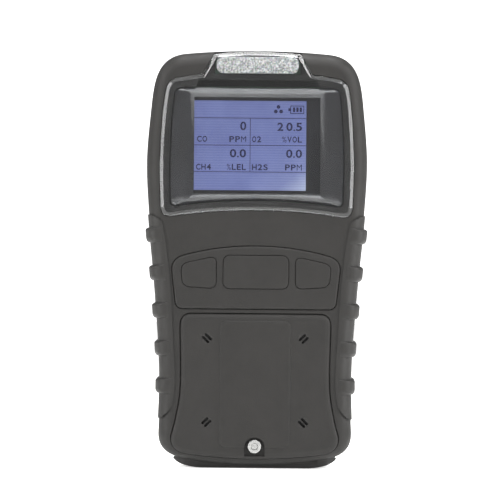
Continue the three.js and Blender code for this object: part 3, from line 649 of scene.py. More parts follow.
LOOKS = {
    "case_plastic": moulded("case_plastic", CASE_COLOUR, 0.55),
    "grip_rubber": moulded("grip_rubber", GRIP_COLOUR, 0.52, grain=0.3, depth=0.015, shine=0.28),
    "seal_rubber": moulded("seal_rubber", (0.012, 0.012, 0.012), 0.6, grain=0.5),
    "key_rubber": moulded("key_rubber", CASE_COLOUR, 0.6, grain=0.28, depth=0.02),
    "steel": metal("steel", (0.33, 0.33, 0.325), 0.24),
    "clip_steel": metal("clip_steel", (0.5, 0.5, 0.51), 0.28, grain=(1, 1, 0.05), depth=0.01),
    "clear_window": clear_plastic(),
    "light_bar": diffuser(),
    "black_gloss": black_gloss(),
    "display": moulded("display", (0.012, 0.012, 0.015), 0.12, grain=3, depth=0.004),
    "white_plastic": moulded("white_plastic", (0.72, 0.71, 0.68), 0.5, variation=0.05),
    "sensor_can": moulded("sensor_can", (0.62, 0.61, 0.57), 0.42, variation=0.08),
    "inner_plastic": moulded("inner_plastic", (0.02, 0.021, 0.022), 0.55),
    "circuit_board": circuit_board(),
    "brass": metal("brass", (0.66, 0.5, 0.22), 0.3),
    "battery": battery_wrap(),
}


# ---------------------------------------------------------------- finishing a piece


def finish(obj, name, slot, body="case", nodes=(), bevel=0.0, sharp=32):
    """Scales a solid to metres, shades it, gives it its look and puts it on its body."""
    obj.name = name
    obj.data.name = name
    merge_flat_faces(obj.data)
    obj.data.transform(Matrix.Scale(MM, 4))
    obj.data.shade_smooth()
    for face in obj.data.polygons:
        face.use_smooth = len(face.vertices) <= 6  # what is left with more corners is flat
    obj.data.set_sharp_from_angle(angle=math.radians(sharp))
    if bevel:
        modifier = obj.modifiers.new("edges", "BEVEL")
        modifier.width = bevel * MM
        modifier.segments = 3
        modifier.limit_method = "ANGLE"
        modifier.angle_limit = math.radians(40)
        modifier.harden_normals = True
    normals = obj.modifiers.new("normals", "WEIGHTED_NORMAL")
    normals.keep_sharp = True
    obj.data.materials.clear()
    obj.data.materials.append(LOOKS[slot])
    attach(obj, body)
    if nodes:
        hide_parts(*nodes)
    return obj


# ---------------------------------------------------------------- camera, lights and floor

VIEW_CENTRE = Vector((-2.65, 0, 89.1)) * MM
VIEW_DISTANCE = 2.0
VIEW_WIDTH = 0.2055  # across the picture, at the object
VIEW_AZIMUTH = math.radians(0.5)
VIEW_ELEVATION = math.radians(0.5)
VIEW_ROLL = math.radians(0.5)


def make_camera():
    data = bpy.data.cameras.new("camera")
    data.sensor_width = 36
    data.lens = data.sensor_width * VIEW_DISTANCE / VIEW_WIDTH
    camera = add_object("camera", data)
    back = Vector(
        (
            math.sin(VIEW_AZIMUTH) * math.cos(VIEW_ELEVATION),
            -math.cos(VIEW_AZIMUTH) * math.cos(VIEW_ELEVATION),
            math.sin(VIEW_ELEVATION),
        )
    )
    camera.location = VIEW_CENTRE + back * VIEW_DISTANCE
    facing = (-back).to_track_quat("-Z", "Y").to_matrix().to_4x4()
    camera.rotation_euler = (facing @ Matrix.Rotation(VIEW_ROLL, 4, "Z")).to_euler()
    bpy.context.scene.camera = camera


def softbox(name, place, size, power, aim=(0, 0, 0.09)):
    """A rectangular lamp of this size and power in watts, aimed at a point."""
    data = bpy.data.lights.new(name, "AREA")
    data.shape = "RECTANGLE"
    data.size, data.size_y = size
    data.energy = power
    lamp = add_object(name, data)
    lamp.location = place
    lamp.rotation_euler = (Vector(aim) - Vector(place)).to_track_quat("-Z", "Y").to_euler()


def light_world(strength):
    world = bpy.data.worlds.new("studio")
    world.use_nodes = True
    background = world.node_tree.nodes["Background"]
    background.inputs["Color"].default_value = (1, 1, 1, 1)
    background.inputs["Strength"].default_value = strength
    bpy.context.scene.world = world


SURROUND_RADIUS = 4.0
SURROUND_GLOW = 1.1
FLOOR_HALF = 2.5
FLOOR_GLOW = 0.62  # a lit table, so the sheet stays white far from the lamps


def make_floor():
    """A large pale sheet under the object."""
    half = FLOOR_HALF
    mesh = bpy.data.meshes.new("floor")
    level = -0.05 * MM  # just clear of the foot
    corners = [(-half, -half, level), (half, -half, level), (half, half, level), (-half, half, level)]
    mesh.from_pydata(corners, [], [(0, 1, 2, 3)])
    floor = add_object("floor", mesh)
    look = Look("floor_paper", 0.7)
    paper = look.tones(60, 3, (0.93, 0.93, 0.92), (0.95, 0.95, 0.94))
    look.colour(paper)
    look.link(paper, look.shader.inputs["Emission Color"])
    look.set("Emission Strength", FLOOR_GLOW)
    look.bump((look.noise(0.4, 3), 0.02))
    mesh.materials.append(look.material)
    floor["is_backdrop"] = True


def make_surround():
    """A white dome, seen by the camera only, so the room's strength doesn't set the background."""
    mesh = bpy.data.meshes.new("surround")
    shape = bmesh.new()
    bmesh.ops.create_icosphere(shape, subdivisions=4, radius=SURROUND_RADIUS)
    bmesh.ops.reverse_faces(shape, faces=shape.faces)
    shape.to_mesh(mesh)
    shape.free()
    dome = add_object("surround", mesh)
    look = Look("surround_paper", 0.9)
    white = look.tones(900, 2, (0.99, 0.99, 0.99), (1, 1, 1))
    look.link(white, look.shader.inputs["Emission Color"])
    look.set("Emission Strength", SURROUND_GLOW)
    mesh.materials.append(look.material)
    dome.visible_diffuse = False
    dome.visible_glossy = False
    dome.visible_transmission = False
    dome.visible_shadow = False
    dome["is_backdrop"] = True


def light_studio():
    light_world(0.45)
    softbox("overhead", (0, 0.02, 0.95), (0.6, 0.5), 10)
    softbox("front", (0.1, -0.8, 0.85), (1.1, 0.6), 12)
    softbox("right", (0.8, -0.32, 0.3), (0.35, 0.9), 8)
    softbox("left", (-0.75, -0.42, 0.3), (0.3, 0.9), 6.5)
    softbox("high_left", (-0.9, 0, 0.68), (0.4, 0.4), 3.5)
    softbox("high_right", (0.9, 0, 0.68), (0.4, 0.4), 5)
    bpy.context.scene.view_settings.view_transform = "Standard"


# ---------------------------------------------------------------- the case


def sensor_places():
    """(x, z) of the four sensors, from the cans."""
    places = []
    for name in ("sensor_co", "sensor_ch4", "sensor_o2", "sensor_h2s"):
        x, _, z = middle(name)
        places.append((x, z))
    return places


def barrel(x, z, radius, front, back, sides=28):
    return prism(circle(x, z, radius, sides), front, back)


def cavity_tools():
    lower = pillow(grow(case_outline, -LOWER_WALL), INNER_FRONT, INNER_BACK, *CAVITY_EDGE)
    upper = pillow(grow(case_outline, -UPPER_WALL), INNER_FRONT, INNER_BACK, *CAVITY_EDGE)
    top = block((-REACH, REACH), (FRONT - 1, BACK + 1), (THICK_WALL_TOP, HEIGHT))
    return [lower, common(upper, top)]


def grip_core(gap=0.0):
    """The case without the depth of a grip, larger all round by the gap."""
    depth = GRIP_DEPTH - GRIP_THINNING
    return pillow(grow(case_outline, gap - GRIP_DEPTH), FRONT + depth - gap, BACK - depth + gap, *EDGE)


def grip_beds():
    """What is taken out of the case under the grips."""
    whole = [prism(grip_outline(side, SEAM), FRONT - 1, BACK + 1) for side in (-1, 1)]
    return [cut(pad, grip_core()) for pad in whole]


def foot_bed():
    low, high = span("base_foot")
    return block((-REACH, REACH), (low.y - SEAM, high.y + SEAM), (-1, high.z + SEAM))


def build_front_shell():
    shell = loft(case_outline, rim(FRONT, *EDGE, 16) + rim(PARTING - 0.02, SOFT_EDGE, -SOFT_EDGE, 4))
    cut(shell, *cavity_tools())
    cut(shell, *grip_beds(), foot_bed())
    # bosses behind the wall
    posts = [barrel(x, z, FRONT_POST, INNER_FRONT - 0.5, PARTING - 0.4) for x, z in CASE_SCREWS]
    screw_z = middle("cover_screw")[2]
    posts.append(barrel(0, screw_z, 4, INNER_FRONT - 0.5, -7.5))
    posts.append(block((-26, 26), (INNER_FRONT - 0.2, -10.6), (158.6, 168.4)))
    join(shell, *posts)
    holes = [barrel(x, z, SCREW_HOLE, -7, PARTING + 1) for x, z in CASE_SCREWS]
    holes.append(barrel(0, screw_z, 2.6, INNER_FRONT, -7))
    holes.append(barrel(0, screw_z, SCREW_HOLE, FRONT - 1, INNER_FRONT + 1))
    # beds of the window, its tab, the light and the mask
    window_back = span("display_window")[1].y
    pane_back = FRONT + PANE_DEPTH
    holes.append(bed(grow(window_outline, SEAM), FRONT, pane_back + 0.3))
    holes.append(prism(tab_bed, FRONT - 2, window_back + 0.3))
    holes.append(block((-18, 18), (window_back - 1, -10), (161, 167.4)))
    holes.append(prism(grow(bezel_outline, 0.3), FRONT - 1, INNER_FRONT + 1))
    # beds of the keypad frame and the sensor cover
    holes.append(bed(grow(frame_outline, SEAM), FRONT, span("keypad_frame")[1].y + 0.3))
    holes.append(prism(grow(frame_outline, -1.6), FRONT - 1, INNER_FRONT + 1))
    holes.append(bed(grow(groove_outline, 0.05), FRONT, span("sensor_cover")[1].y + 0.3, 0.25))
    holes += [barrel(x, z, 8, FRONT - 1, INNER_FRONT + 1) for x, z in sensor_places()]
    for hole in holes:
        cut(shell, hole)
    finish(shell, "case_front", "case_plastic", nodes=["front_shell"])


def build_rear_shell():
    start = PARTING + 0.12
    shell = loft(case_outline, rim(start, SOFT_EDGE, SOFT_EDGE, 4) + rim(BACK, EDGE[0], -EDGE[1], 16))
    cut(shell, *cavity_tools())
    cut(shell, *grip_beds(), foot_bed())
    join(shell, *[barrel(x, z, REAR_POST, start + 0.3, INNER_BACK + 0.5) for x, z in CASE_SCREWS])
    head_front = span("case_screw_1")[1].y - 2.5
    holes = [barrel(x, z, SCREW_HOLE, PARTING - 1, BACK) for x, z in CASE_SCREWS]
    for x, z in CASE_SCREWS:
        holes.append(bed_behind(circle(x, z, HEAD_HOLE), BACK, head_front))
    holes += [barrel(0, z, SCREW_HOLE, INNER_BACK - 1, BACK + 1) for z in CLIP_SCREWS_Z]
    buzzer_x, _, buzzer_z = middle("buzzer")
    for step in (-1, 0, 1):
        slot = stadium(buzzer_x, buzzer_z + SOUND_SLOTS["pitch"] * step, *SOUND_SLOTS["size"], 0)
        holes.append(bed_behind(slot, BACK, INNER_BACK - 1, 0.15))
    flap_low, flap_high = span("socket_flap")
    recess = rounded(rectangle(flap_low.x - 0.2, flap_high.x + 0.2, flap_low.z - 0.2, flap_high.z + 1.2), 1.6)
    holes.append(bed_behind(recess, BACK, BACK - 1.6))
    holes.append(prism(rounded(outline_of("charge_socket", 0.3), 0.8), INNER_BACK - 1, BACK + 1))
    for hole in holes:
        cut(shell, hole)
    finish(shell, "case_rear", "case_plastic", nodes=["rear_shell"])


def bed_behind(outline, surface, floor, radius=SOFT_EDGE):
    """A cutter for a hole that goes in from the back, with a rounded mouth."""
    return loft(outline, [(0, floor)] + rim(surface, -radius, -radius, 5) + [(radius, surface + 2)])


# ---------------------------------------------------------------- grips and foot

RIB_LEVELS = [95 - 15.35 * i for i in range(5)]
RIB_HALF = 3.1
RIB_UPPER = 1.1  # height of the rounding above and below on a rib
RIB_LOWER = 2.0


def rib_heights():
    """(z, share of the full rib) down one side of the case, from bottom to top."""
    heights = [(16.0, 0.0)]
    for middle in reversed(RIB_LEVELS):
        low, high = middle - RIB_HALF, middle + RIB_HALF
        last = heights[-1][0]
        gap = low - last
        heights += [(last + gap * t, 0.0) for t in fractions(max(2, round(gap / 1.5)))[1:]]
        heights += [(low + RIB_LOWER * down, 1 - across) for across, down in quarter(9)[1:]]
        heights += [(high - RIB_UPPER * down, 1 - across) for across, down in reversed(quarter(7))]
    return heights + [(high + 2 * i, 0.0) for i in range(1, 5)]


def side_point(z):
    """Where the side of the case is at a height, and which way it faces."""
    side = [p for p in case_outline if p.x > 0 and 6 < p.y < 150]
    above = next(i for i, p in enumerate(side) if p.y > z)
    low, high = side[above - 1], side[above]
    point = low.lerp(high, (z - low.y) / (high.y - low.y))
    along = (high - low).normalized()
    return point, Vector((along.y, -along.x))


def skin_profile():
    """(offset, y, outward part, forward part) over the case's skin, from front to back."""
    inset, depth = EDGE
    rows = []
    for t in fractions(16):
        turn = t * math.pi / 2
        facing = Vector((math.sin(turn) / inset, math.cos(turn) / depth)).normalized()
        y = FRONT - GRIP_PROUD + depth * (1 - math.cos(turn))
        rows.append((-inset * (1 - math.sin(turn)), y, *facing))
    middle = [(0, FRONT - GRIP_PROUD + depth + 2.5 * i, 1, 0) for i in range(1, 6)]
    behind = [(offset, -y, out, -forward) for offset, y, out, forward in reversed(rows)]
    return rows + middle + behind


def grip_skin(side):
    """The outer body of one grip, ribs raised from it, before it is cut to its outline."""
    heights = rib_heights()
    inner_x = 12
    rings = []
    for offset, y, out, forward in skin_profile():
        fade = min(1.0, 1.3 * out)
        ring = []
        for z, share in heights:
            point, facing = side_point(z)
            raised = (LUG_PROUD - GRIP_PROUD) * share * fade
            place = point + facing * (GRIP_PROUD + offset + raised * out)
            ring.append((side * place.x, y - raised * forward, z if share == 0 else place.y))
        ring.append((side * inner_x, y, heights[-1][0]))
        ring.append((side * inner_x, y, heights[0][0]))
        rings.append(ring if side > 0 else list(reversed(ring)))
    return solid_of(rings)


def build_grip(side, node):
    skin = grip_skin(side)
    softened = loft(
        grip_outline(side),
        [(-0.5, FRONT - 2)]
        + rim(FRONT - GRIP_PROUD, 0.5, 0.5, 5)
        + rim(BACK + GRIP_PROUD, 0.5, -0.5, 5)
        + [(-0.5, BACK + 2)],
    )
    common(skin, softened)
    cut(skin, grip_core(SEAM))
    finish(skin, node + "_pad", "grip_rubber", nodes=[node], sharp=40)


def build_foot():
    low, high = span("base_foot")
    flat = 22
    half = chain(
        line(at(0, 0), at(flat, 0)),
        arc(at(flat, 0), at(30, 0.4), at(high.x, high.z - 0.6)),
        line(at(high.x, high.z - 0.6), at(high.x - 1, high.z)),
        line(at(high.x - 1, high.z), at(0, high.z)),
    )
    foot = loft(mirrored(half), rim(low.y, 0.5, 0.9, 6) + rim(high.y, 0.5, -0.9, 6))
    plan = rounded(rectangle(low.x, high.x, low.y, high.y), 9, 12)
    common(foot, solid_of([[(p.x, p.y, z) for p in plan] for z in (high.z + 1, low.z - 1)]))
    finish(foot, "foot_pad", "grip_rubber", nodes=["base_foot"])


# ---------------------------------------------------------------- window, mask, light and display


def light_shape(margin):
    low, high = span("alarm_diffuser")
    radius = (high.z - low.z) / 2 - 0.02
    return grow(rounded(outline_of("alarm_diffuser"), radius, 14), margin)


def build_window():
    low, high = span("display_window")
    pane_back = FRONT + PANE_DEPTH
    edge = [(-1.5, low.y), (-1.4, low.y + 0.02), (-0.15, low.y + 0.75), (0, low.y + 0.95)]
    pane = loft(window_outline, edge + [(0, pane_back)])
    chamfer = [(-1.6, low.y), (-1.5, low.y + 0.04), (-0.06, low.y + 1.5), (0, low.y + 1.62)]
    tab = loft(tab_outline, chamfer + [(0, high.y)])
    ledge = block((-REACH, REACH), (low.y - 1, high.y + 1), (160.4, HEIGHT + 1))
    ahead = block((-REACH, REACH), (low.y - 1, pane_back), (150, HEIGHT + 1))
    join(ledge, ahead)
    common(tab, ledge)
    join(pane, tab)
    light_front = span("alarm_diffuser")[0].y
    cut(pane, prism(light_shape(0.3), light_front - 0.3, high.y + 1))
    finish(pane, "window_pane", "clear_window", nodes=["display_window"])


MASK = {"slope": 1.3, "narrowing": 0.83, "lowering": 0.84, "lip": 2.8}
MASK_OPENING = (-25.7, 25.7, 112.4, 151.5)  # left, right, bottom, top


def build_mask():
    """The black mask: its four faces slope back from the opening to its edge."""
    low, high = span("display_bezel")
    centre_z = middle("display_bezel")[2]
    edge_y = low.y + MASK["slope"]

    def drawn_in(points):
        lower = MASK["lowering"]
        return [at(p.x * MASK["narrowing"], centre_z + (p.y - centre_z) * lower) for p in points]

    mask = solid_of(
        [
            ring_at(drawn_in(bezel_outline), low.y),
            ring_at(grow(bezel_outline, -0.5), edge_y - 0.15),
            ring_at(bezel_outline, edge_y + 0.3),
            ring_at(bezel_outline, high.y),
        ]
    )
    opening = rectangle(*MASK_OPENING)
    cut(mask, loft(opening, [(2 * MASK["lip"], low.y - 1), (0, low.y + 1), (0, high.y + 1)]))
    finish(mask, "display_mask", "black_gloss", nodes=["display_bezel"])


def build_light():
    low, high = span("alarm_diffuser")
    lens = loft(light_shape(0), rim(low.y, 0.6, 0.5, 6) + [(0, high.y)])
    finish(lens, "alarm_lens", "light_bar", nodes=["alarm_diffuser"])


# the lit part of the display, in millimetres, and its dots
LIT = {"left": -29, "right": 20, "bottom": 113.6, "top": 150.1}
DOTS = {"across": 320, "down": 240}
INK = (0.006, 0.007, 0.04)
DISPLAY_GLOW = 0.9


def dot(x, y):
    """A place on the display given in its dots, from the upper left."""
    return at(
        LIT["left"] + (LIT["right"] - LIT["left"]) * x / DOTS["across"],
        LIT["top"] - (LIT["top"] - LIT["bottom"]) * y / DOTS["down"],
    )


def display_light():
    """The lit liquid crystal: faint rows of dots, brighter towards the lower right."""
    look = Look("display_light", 0.25)
    separate = look.tree.nodes.new("ShaderNodeSeparateXYZ")
    look.link(look.place, separate.inputs["Vector"])
    across = look.range(separate.outputs["X"], 0, 1, LIT["left"] * MM, LIT["right"] * MM)
    down = look.range(separate.outputs["Z"], 1, 0, LIT["bottom"] * MM, LIT["top"] * MM)
    corner = look.tree.nodes.new("ShaderNodeMath")
    corner.operation = "MULTIPLY"
    look.link(across, corner.inputs[0])
    look.link(down, corner.inputs[1])
    tone = look.ramp(
        corner.outputs["Value"],
        (0.0, (0.135, 0.165, 0.385)),
        (0.45, (0.147, 0.183, 0.43)),
        (0.75, (0.21, 0.25, 0.49)),
        (1.0, (0.46, 0.53, 0.7)),
    )
    rows = look.tree.nodes.new("ShaderNodeTexWave")
    rows.bands_direction = "Z"
    rows.inputs["Scale"].default_value = 300
    rows.inputs["Distortion"].default_value = 0.6
    look.link(look.place, rows.inputs["Vector"])
    lines = look.ramp(rows.outputs["Color"], (0.0, (0.84, 0.84, 0.88)), (1.0, (1.04, 1.04, 1.03)))
    clouds = look.tones(9, 4, (0.9, 0.9, 0.93), (1.1, 1.09, 1.06))
    lit = look.mix(1.0, look.mix(1.0, tone, lines, "MULTIPLY"), clouds, "MULTIPLY")
    look.link(lit, look.shader.inputs["Emission Color"])
    look.set("Emission Strength", DISPLAY_GLOW)
    look.set("Base Color", (0.02, 0.025, 0.06, 1))
    return look.material


def display_ink():
    look = Look("display_ink", 0.3)
    look.colour(look.tones(0.6, 3, INK, shade(INK, 1.5)))
    look.set("Specular IOR Level", 0.1)
    return look.material


def thin_sheet(outline, front, thickness=0.02):
    return prism(outline, front, front + thickness)


def text_shapes(front):
    """The readings, units and gas formulas. Each is (text, left, right, top, bottom) in dots."""
    readings = (
        ("0", 144, 160, 56, 79),
        ("2", 243, 259, 58, 80),
        ("0.5", 267, 309, 58, 80),
        ("0.0", 117, 160, 130, 152),
        ("0.0", 267, 309, 130, 152),
        ("CO", 29, 56, 95, 111),
        ("PPM", 115, 160, 95, 111),
        ("O2", 176, 200, 95, 111),
        ("%VOL", 256, 309, 95, 111),
        ("CH4", 27, 67, 170, 186),
        ("%LEL", 109, 160, 170, 186),
        ("H2S", 176, 219, 170, 186),
        ("PPM", 264, 309, 170, 186),
    )
    shapes = []
    for text, left, right, top, bottom in readings:
        widths = [POINT_WIDTH if letter == "." else 1 for letter in text]
        cell = (right - left + LETTER_GAP) / sum(widths)
        place = left
        for letter, width in zip(text, widths):
            upper = bottom - POINT_HEIGHT if letter == "." else top
            shapes.append(glyph(letter, front, place, place + cell * width - LETTER_GAP, upper, bottom))
            place += cell * width
    return shapes


LETTER_GAP = 2.2  # dots between letters
POINT_WIDTH = 0.36  # of a full cell
POINT_HEIGHT = 4.2  # dots


def glyph(letter, front, left, right, top, bottom):
    """One character as a thin solid in the middle of the given dots, as high as they are."""
    data = bpy.data.curves.new("glyph", "FONT")
    data.body = letter
    data.offset = 0.0 if letter in "M%" else 0.022
    source = add_object("glyph", data)
    depsgraph = bpy.context.evaluated_depsgraph_get()
    mesh = bpy.data.meshes.new_from_object(source.evaluated_get(depsgraph))
    bpy.data.objects.remove(source)
    xs = [v.co.x for v in mesh.vertices]
    ys = [v.co.y for v in mesh.vertices]
    low, high = dot(left, bottom), dot(right, top)
    tall = (high.y - low.y) / (max(ys) - min(ys))
    wide = min(1.25 * tall, (high.x - low.x) / (max(xs) - min(xs)))
    for vertex in mesh.vertices:
        across = (vertex.co.x - (max(xs) + min(xs)) / 2) * wide
        vertex.co = ((low.x + high.x) / 2 + across, front, low.y + (vertex.co.y - min(ys)) * tall)
    made = add_object("glyph", mesh)
    made.modifiers.new("thickness", "SOLIDIFY").thickness = 0.02
    return settle(made)


def symbol_shapes(front):
    """The dividing lines, a symbol of three dots and the battery gauge."""

    def bar(x0, x1, y0, y1):
        low, high = dot(x0, y1), dot(x1, y0)
        return thin_sheet(rectangle(low.x, high.x, low.y, high.y), front)

    shapes = [bar(0, 320, y - 0.9, y + 0.9) for y in (46.6, 119.5, 191)]
    shapes.append(bar(170, 171.6, 46.6, 191))
    hub = dot(245.5, 24)
    for i in range(3):
        turn = math.pi / 2 + 2 * math.pi * i / 3
        lobe = circle(hub.x + 1.25 * math.cos(turn), hub.y + 1.25 * math.sin(turn), 0.75, 20)
        shapes.append(thin_sheet(lobe, front))
    for x0, x1, y0, y1 in ((277, 314, 12, 14), (277, 314, 32, 34), (277, 279, 14, 32), (312, 314, 14, 32)):
        shapes.append(bar(x0, x1, y0, y1))
    shapes.append(bar(272, 277, 19, 27))
    shapes += [bar(x, x + 6, 17, 29) for x in (284, 293, 302)]
    return shapes


def joined(objects):
    """Several solids as one object, without cutting them."""
    with bpy.context.temp_override(
        active_object=objects[0], selected_objects=objects, selected_editable_objects=objects
    ):
        bpy.ops.object.join()
    return objects[0]


def build_display():
    low, high = span("lcd_glass")
    glass = loft(outline_of("lcd_glass"), rim(low.y, 0.15, 0.15, 3) + [(0, high.y)])
    finish(glass, "display_glass", "display", nodes=["lcd_glass"])
    picture_front = low.y - 0.06
    picture = thin_sheet(
        rectangle(LIT["left"], LIT["right"], LIT["bottom"], LIT["top"]), picture_front, 0.05
    )
    finish(picture, "display_picture", "display")
    picture.data.materials[0] = display_light()
    ink = joined(text_shapes(picture_front - 0.03) + symbol_shapes(picture_front - 0.03))
    finish(ink, "display_segments", "display")
    ink.data.materials[0] = display_ink()


# ---------------------------------------------------------------- keypad


def build_keypad():
    low, high = span("keypad_frame")
    surround = plate(frame_outline, low.y, high.y, 1, 0.7)
    for side in KEYS.values():
        cut(surround, bed(grow(key_outline(side), 0.15), low.y, high.y + 1, 0.15))
    finish(surround, "keypad_surround", "case_plastic", nodes=["keypad_frame"])
    for node, side in KEYS.items():
        build_key(node, side)


def build_key(node, side):
    low, high = span(node)
    outline = key_outline(side)
    x, _, z = middle(node)
    crown_depth = 0.2
    inset, depth = 0.5, 0.35
    top = grow(outline, -inset)
    rings = []
    for t in fractions(6)[:-1]:
        share = 0.08 + 0.92 * math.sin(t * math.pi / 2)
        drawn_in = [at(x, z).lerp(p, share) for p in top]
        rings.append(ring_at(drawn_in, low.y + crown_depth * share**3))
    sides = rim(low.y + crown_depth, inset, depth, 6)
    flange = high.y - 1
    sides += [(0, flange), (0.8, flange + 0.05), (0.8, high.y)]
    rings += [ring_at(grow(outline, offset), y) for offset, y in sides]
    cap = solid_of(rings)
    finish(cap, node + "_cap", "key_rubber", body=node, nodes=[node])


# ---------------------------------------------------------------- sensor cover and its screw

PORT_RADIUS = 2.15
SLOT = {"length": 3.7, "width": 1.05, "spacing": 1.6}
BAND = (-14.4, 14.4, 8.5, 60.5)  # the raised band between the ports: left, right, bottom, top
NOTCH = {"half": 4.15, "bottom": 5.2, "top": 12.9, "floor": -17.3, "lip": 0.25}  # round the screw
FILTER_POCKET = 3.8


def port_tools(x, z, surface, back):
    """A shallow dish and two slots, pointing at the middle of the four ports."""
    middle_z = sum(place[1] for place in sensor_places()) / 4
    slope = math.copysign(math.pi / 4, x * (z - middle_z))
    dish = circle(x, z, PORT_RADIUS, 32)
    bowl = [(-1.1 * (1 - across), surface + 0.55 * (1 - across)) for across, _ in quarter(6)]
    tools = [loft(dish, [(0.25, surface - 1), (0.25, surface), (0.08, surface + 0.06)] + bowl[1:])]
    across = Vector((-math.sin(slope), math.cos(slope))) * SLOT["spacing"] / 2
    for step in (-1, 1):
        place = at(x, z) + across * step
        slot = stadium(place.x, place.y, SLOT["length"], SLOT["width"], slope)
        tools.append(prism(slot, surface - 1, back))
    return tools


def build_sensor_cover():
    low, high = span("sensor_cover")
    surface = low.y + 0.4
    cover = plate(grow(groove_outline, -0.2), surface, high.y, 2.6, 1.2)
    band = rounded(rectangle(*BAND), 3, 4)
    join(cover, plate(band, low.y, high.y - 1, 1.1, 0.4))
    for x, z in sensor_places():
        cut(cover, *port_tools(x, z, surface, high.y + 1))
        cut(cover, barrel(x, z, FILTER_POCKET, high.y - 0.9, high.y + 1))
    half, lip = NOTCH["half"], NOTCH["lip"]
    turns = [math.pi * t for t in fractions(20)]
    notch = [at(half * math.cos(turn), NOTCH["top"] - half + half * math.sin(turn)) for turn in turns]
    notch += [at(-half, NOTCH["bottom"]), at(half, NOTCH["bottom"])]
    cut(cover, loft(notch, [(lip, low.y - 1)] + rim(low.y, -lip, lip, 4) + [(0, NOTCH["floor"])]))
    cut(cover, barrel(0, middle("cover_screw")[2], SCREW_HOLE, low.y - 1, high.y + 1))
    finish(cover, "cover_plate", "case_plastic", nodes=["sensor_cover"])


def screw(x, z, head, tip, facing, socket_radius, drive_depth=1.2):
    """A screw along Y. Head is (radius, underside y, top y); facing is -1 if its top faces front."""
    radius, underside, top = head
    edge = 0.45
    crown = [(top - facing * edge * d, -edge * s) for s, d in quarter(6)]
    profile = [(offset, y) for y, offset in crown] + [(0, underside)]
    shape = loft(circle(x, z, radius, 48), profile if facing < 0 else list(reversed(profile)))
    body = threaded(x, z, SCREW_SHANK, min(tip, underside), max(tip, underside), facing)
    join(shape, body)
    floor = top - facing * drive_depth
    hexagon = circle(x, z, socket_radius, 6)
    flare = circle(x, z, socket_radius * 1.25, 24)
    cut(shape, prism(hexagon, min(floor, top + facing), max(floor, top + facing)))
    narrow = circle(x, z, socket_radius * 0.8, 24)
    rings = [ring_at(flare, top + facing * 0.5), ring_at(narrow, top - facing * 0.5)]
    cut(shape, solid_of(rings if facing < 0 else list(reversed(rings))))
    return shape


def threaded(x, z, radius, low, high, facing):
    """A shank with rings for its thread, and a blunt point at the end away from the head."""
    pitch = 0.8
    count = int((high - low) / pitch)
    profile = [(low, radius * 0.6)]
    for i in range(count):
        start = low + pitch * i + 0.1
        profile += [(start + 0.1, radius - 0.22), (start + pitch / 2, radius)]
    profile.append((high, radius - 0.2))
    if facing > 0:
        return turned(profile, (x, 0, z), "Y", 20)
    flipped = [(low + high - along, reach) for along, reach in reversed(profile)]
    return turned(flipped, (x, 0, z), "Y", 20)


def build_cover_screw():
    low, high = span("cover_screw")
    made = screw(0, middle("cover_screw")[2], (high.x, low.y + 1.9, low.y), high.y, -1, 1.45)
    finish(made, "cover_screw_steel", "steel", nodes=["cover_screw"])


def build_case_screws():
    for i, (x, z) in enumerate(CASE_SCREWS, 1):
        node = f"case_screw_{i}"
        low, high = span(node)
        made = screw(x, z, (2.7, high.y - 2.2, high.y), low.y, 1, 1.3)
        finish(made, node + "_steel", "steel", nodes=[node])


# ---------------------------------------------------------------- charging socket flap


def build_flap():
    low, high = span("socket_flap")
    sheet = loft(rounded(outline_of("socket_flap"), 1.4), [(0, BACK - 1.3)] + rim(BACK, 0.35, -0.35, 5))
    plug = pillow(rounded(rectangle(-4.2, 4.2, 23.4, 24.8), 0.5), low.y, BACK - 1, 0.25, 0.25)
    tab = pillow(rounded(rectangle(-3, 3, low.z + 0.5, low.z + 2.1), 0.7), BACK - 0.5, high.y, 0.3, 0.3)
    dimple = pillow(rounded(rectangle(-5.5, 5.5, 23, 26.6), 1.6), BACK - 0.25, BACK + 1, 0.3, 0.2)
    join(sheet, plug, tab)
    cut(sheet, dimple)
    finish(sheet, "flap_rubber", "seal_rubber", body="socket_flap", nodes=["socket_flap"])


# ---------------------------------------------------------------- belt clip


CLIP_SHEET = 1.2  # thickness of the sheet metal
PIN_HOLE = 1.6


def clip_pivot():
    return middle("clip_pin")[1:]


def pin_hole():
    return turned([(-REACH, PIN_HOLE), (REACH, PIN_HOLE)], (0, *clip_pivot()), "X")


def build_clip_plate():
    low, high = span("clip_plate")
    pivot_z = clip_pivot()[1]
    back = low.y + CLIP_SHEET
    sheet = pillow(rounded(outline_of("clip_plate"), 3), low.y, back, 0.3, 0.3)
    for side in (-1, 1):
        faces = sorted((side * (high.x - CLIP_SHEET), side * high.x))
        inner, outer = low.y + 0.1, high.y
        corners = [at(inner, pivot_z - 6), at(outer, pivot_z - 3)]
        corners += [at(outer, pivot_z + 4), at(inner, pivot_z + 6)]
        join(sheet, sideways(rounded(corners, 2.4), *faces))
    cut(sheet, pin_hole())
    cut(sheet, *[barrel(0, z, SCREW_HOLE, low.y - 1, back + 1) for z in CLIP_SCREWS_Z])
    finish(sheet, "clip_base", "clip_steel", nodes=["clip_plate"], bevel=0.12)


def sideways(outline, left, right):
    """A prism along X whose outline is given as (y, z)."""
    return solid_of([[(left, p.x, p.y) for p in outline], [(right, p.x, p.y) for p in outline]])


def lever_faces(inner_y):
    """The inner face of the lever from its lip up to its thumb pad, as (y, z)."""
    return spline(
        [
            at(22.2, 62),
            at(20.1, 67.5),
            at(24.2, 74),
            at(inner_y, 80),
            at(inner_y, 100),
            at(inner_y, 119),
            at(26.4, 126),
            at(28.2, 133),
        ],
        8,
    )


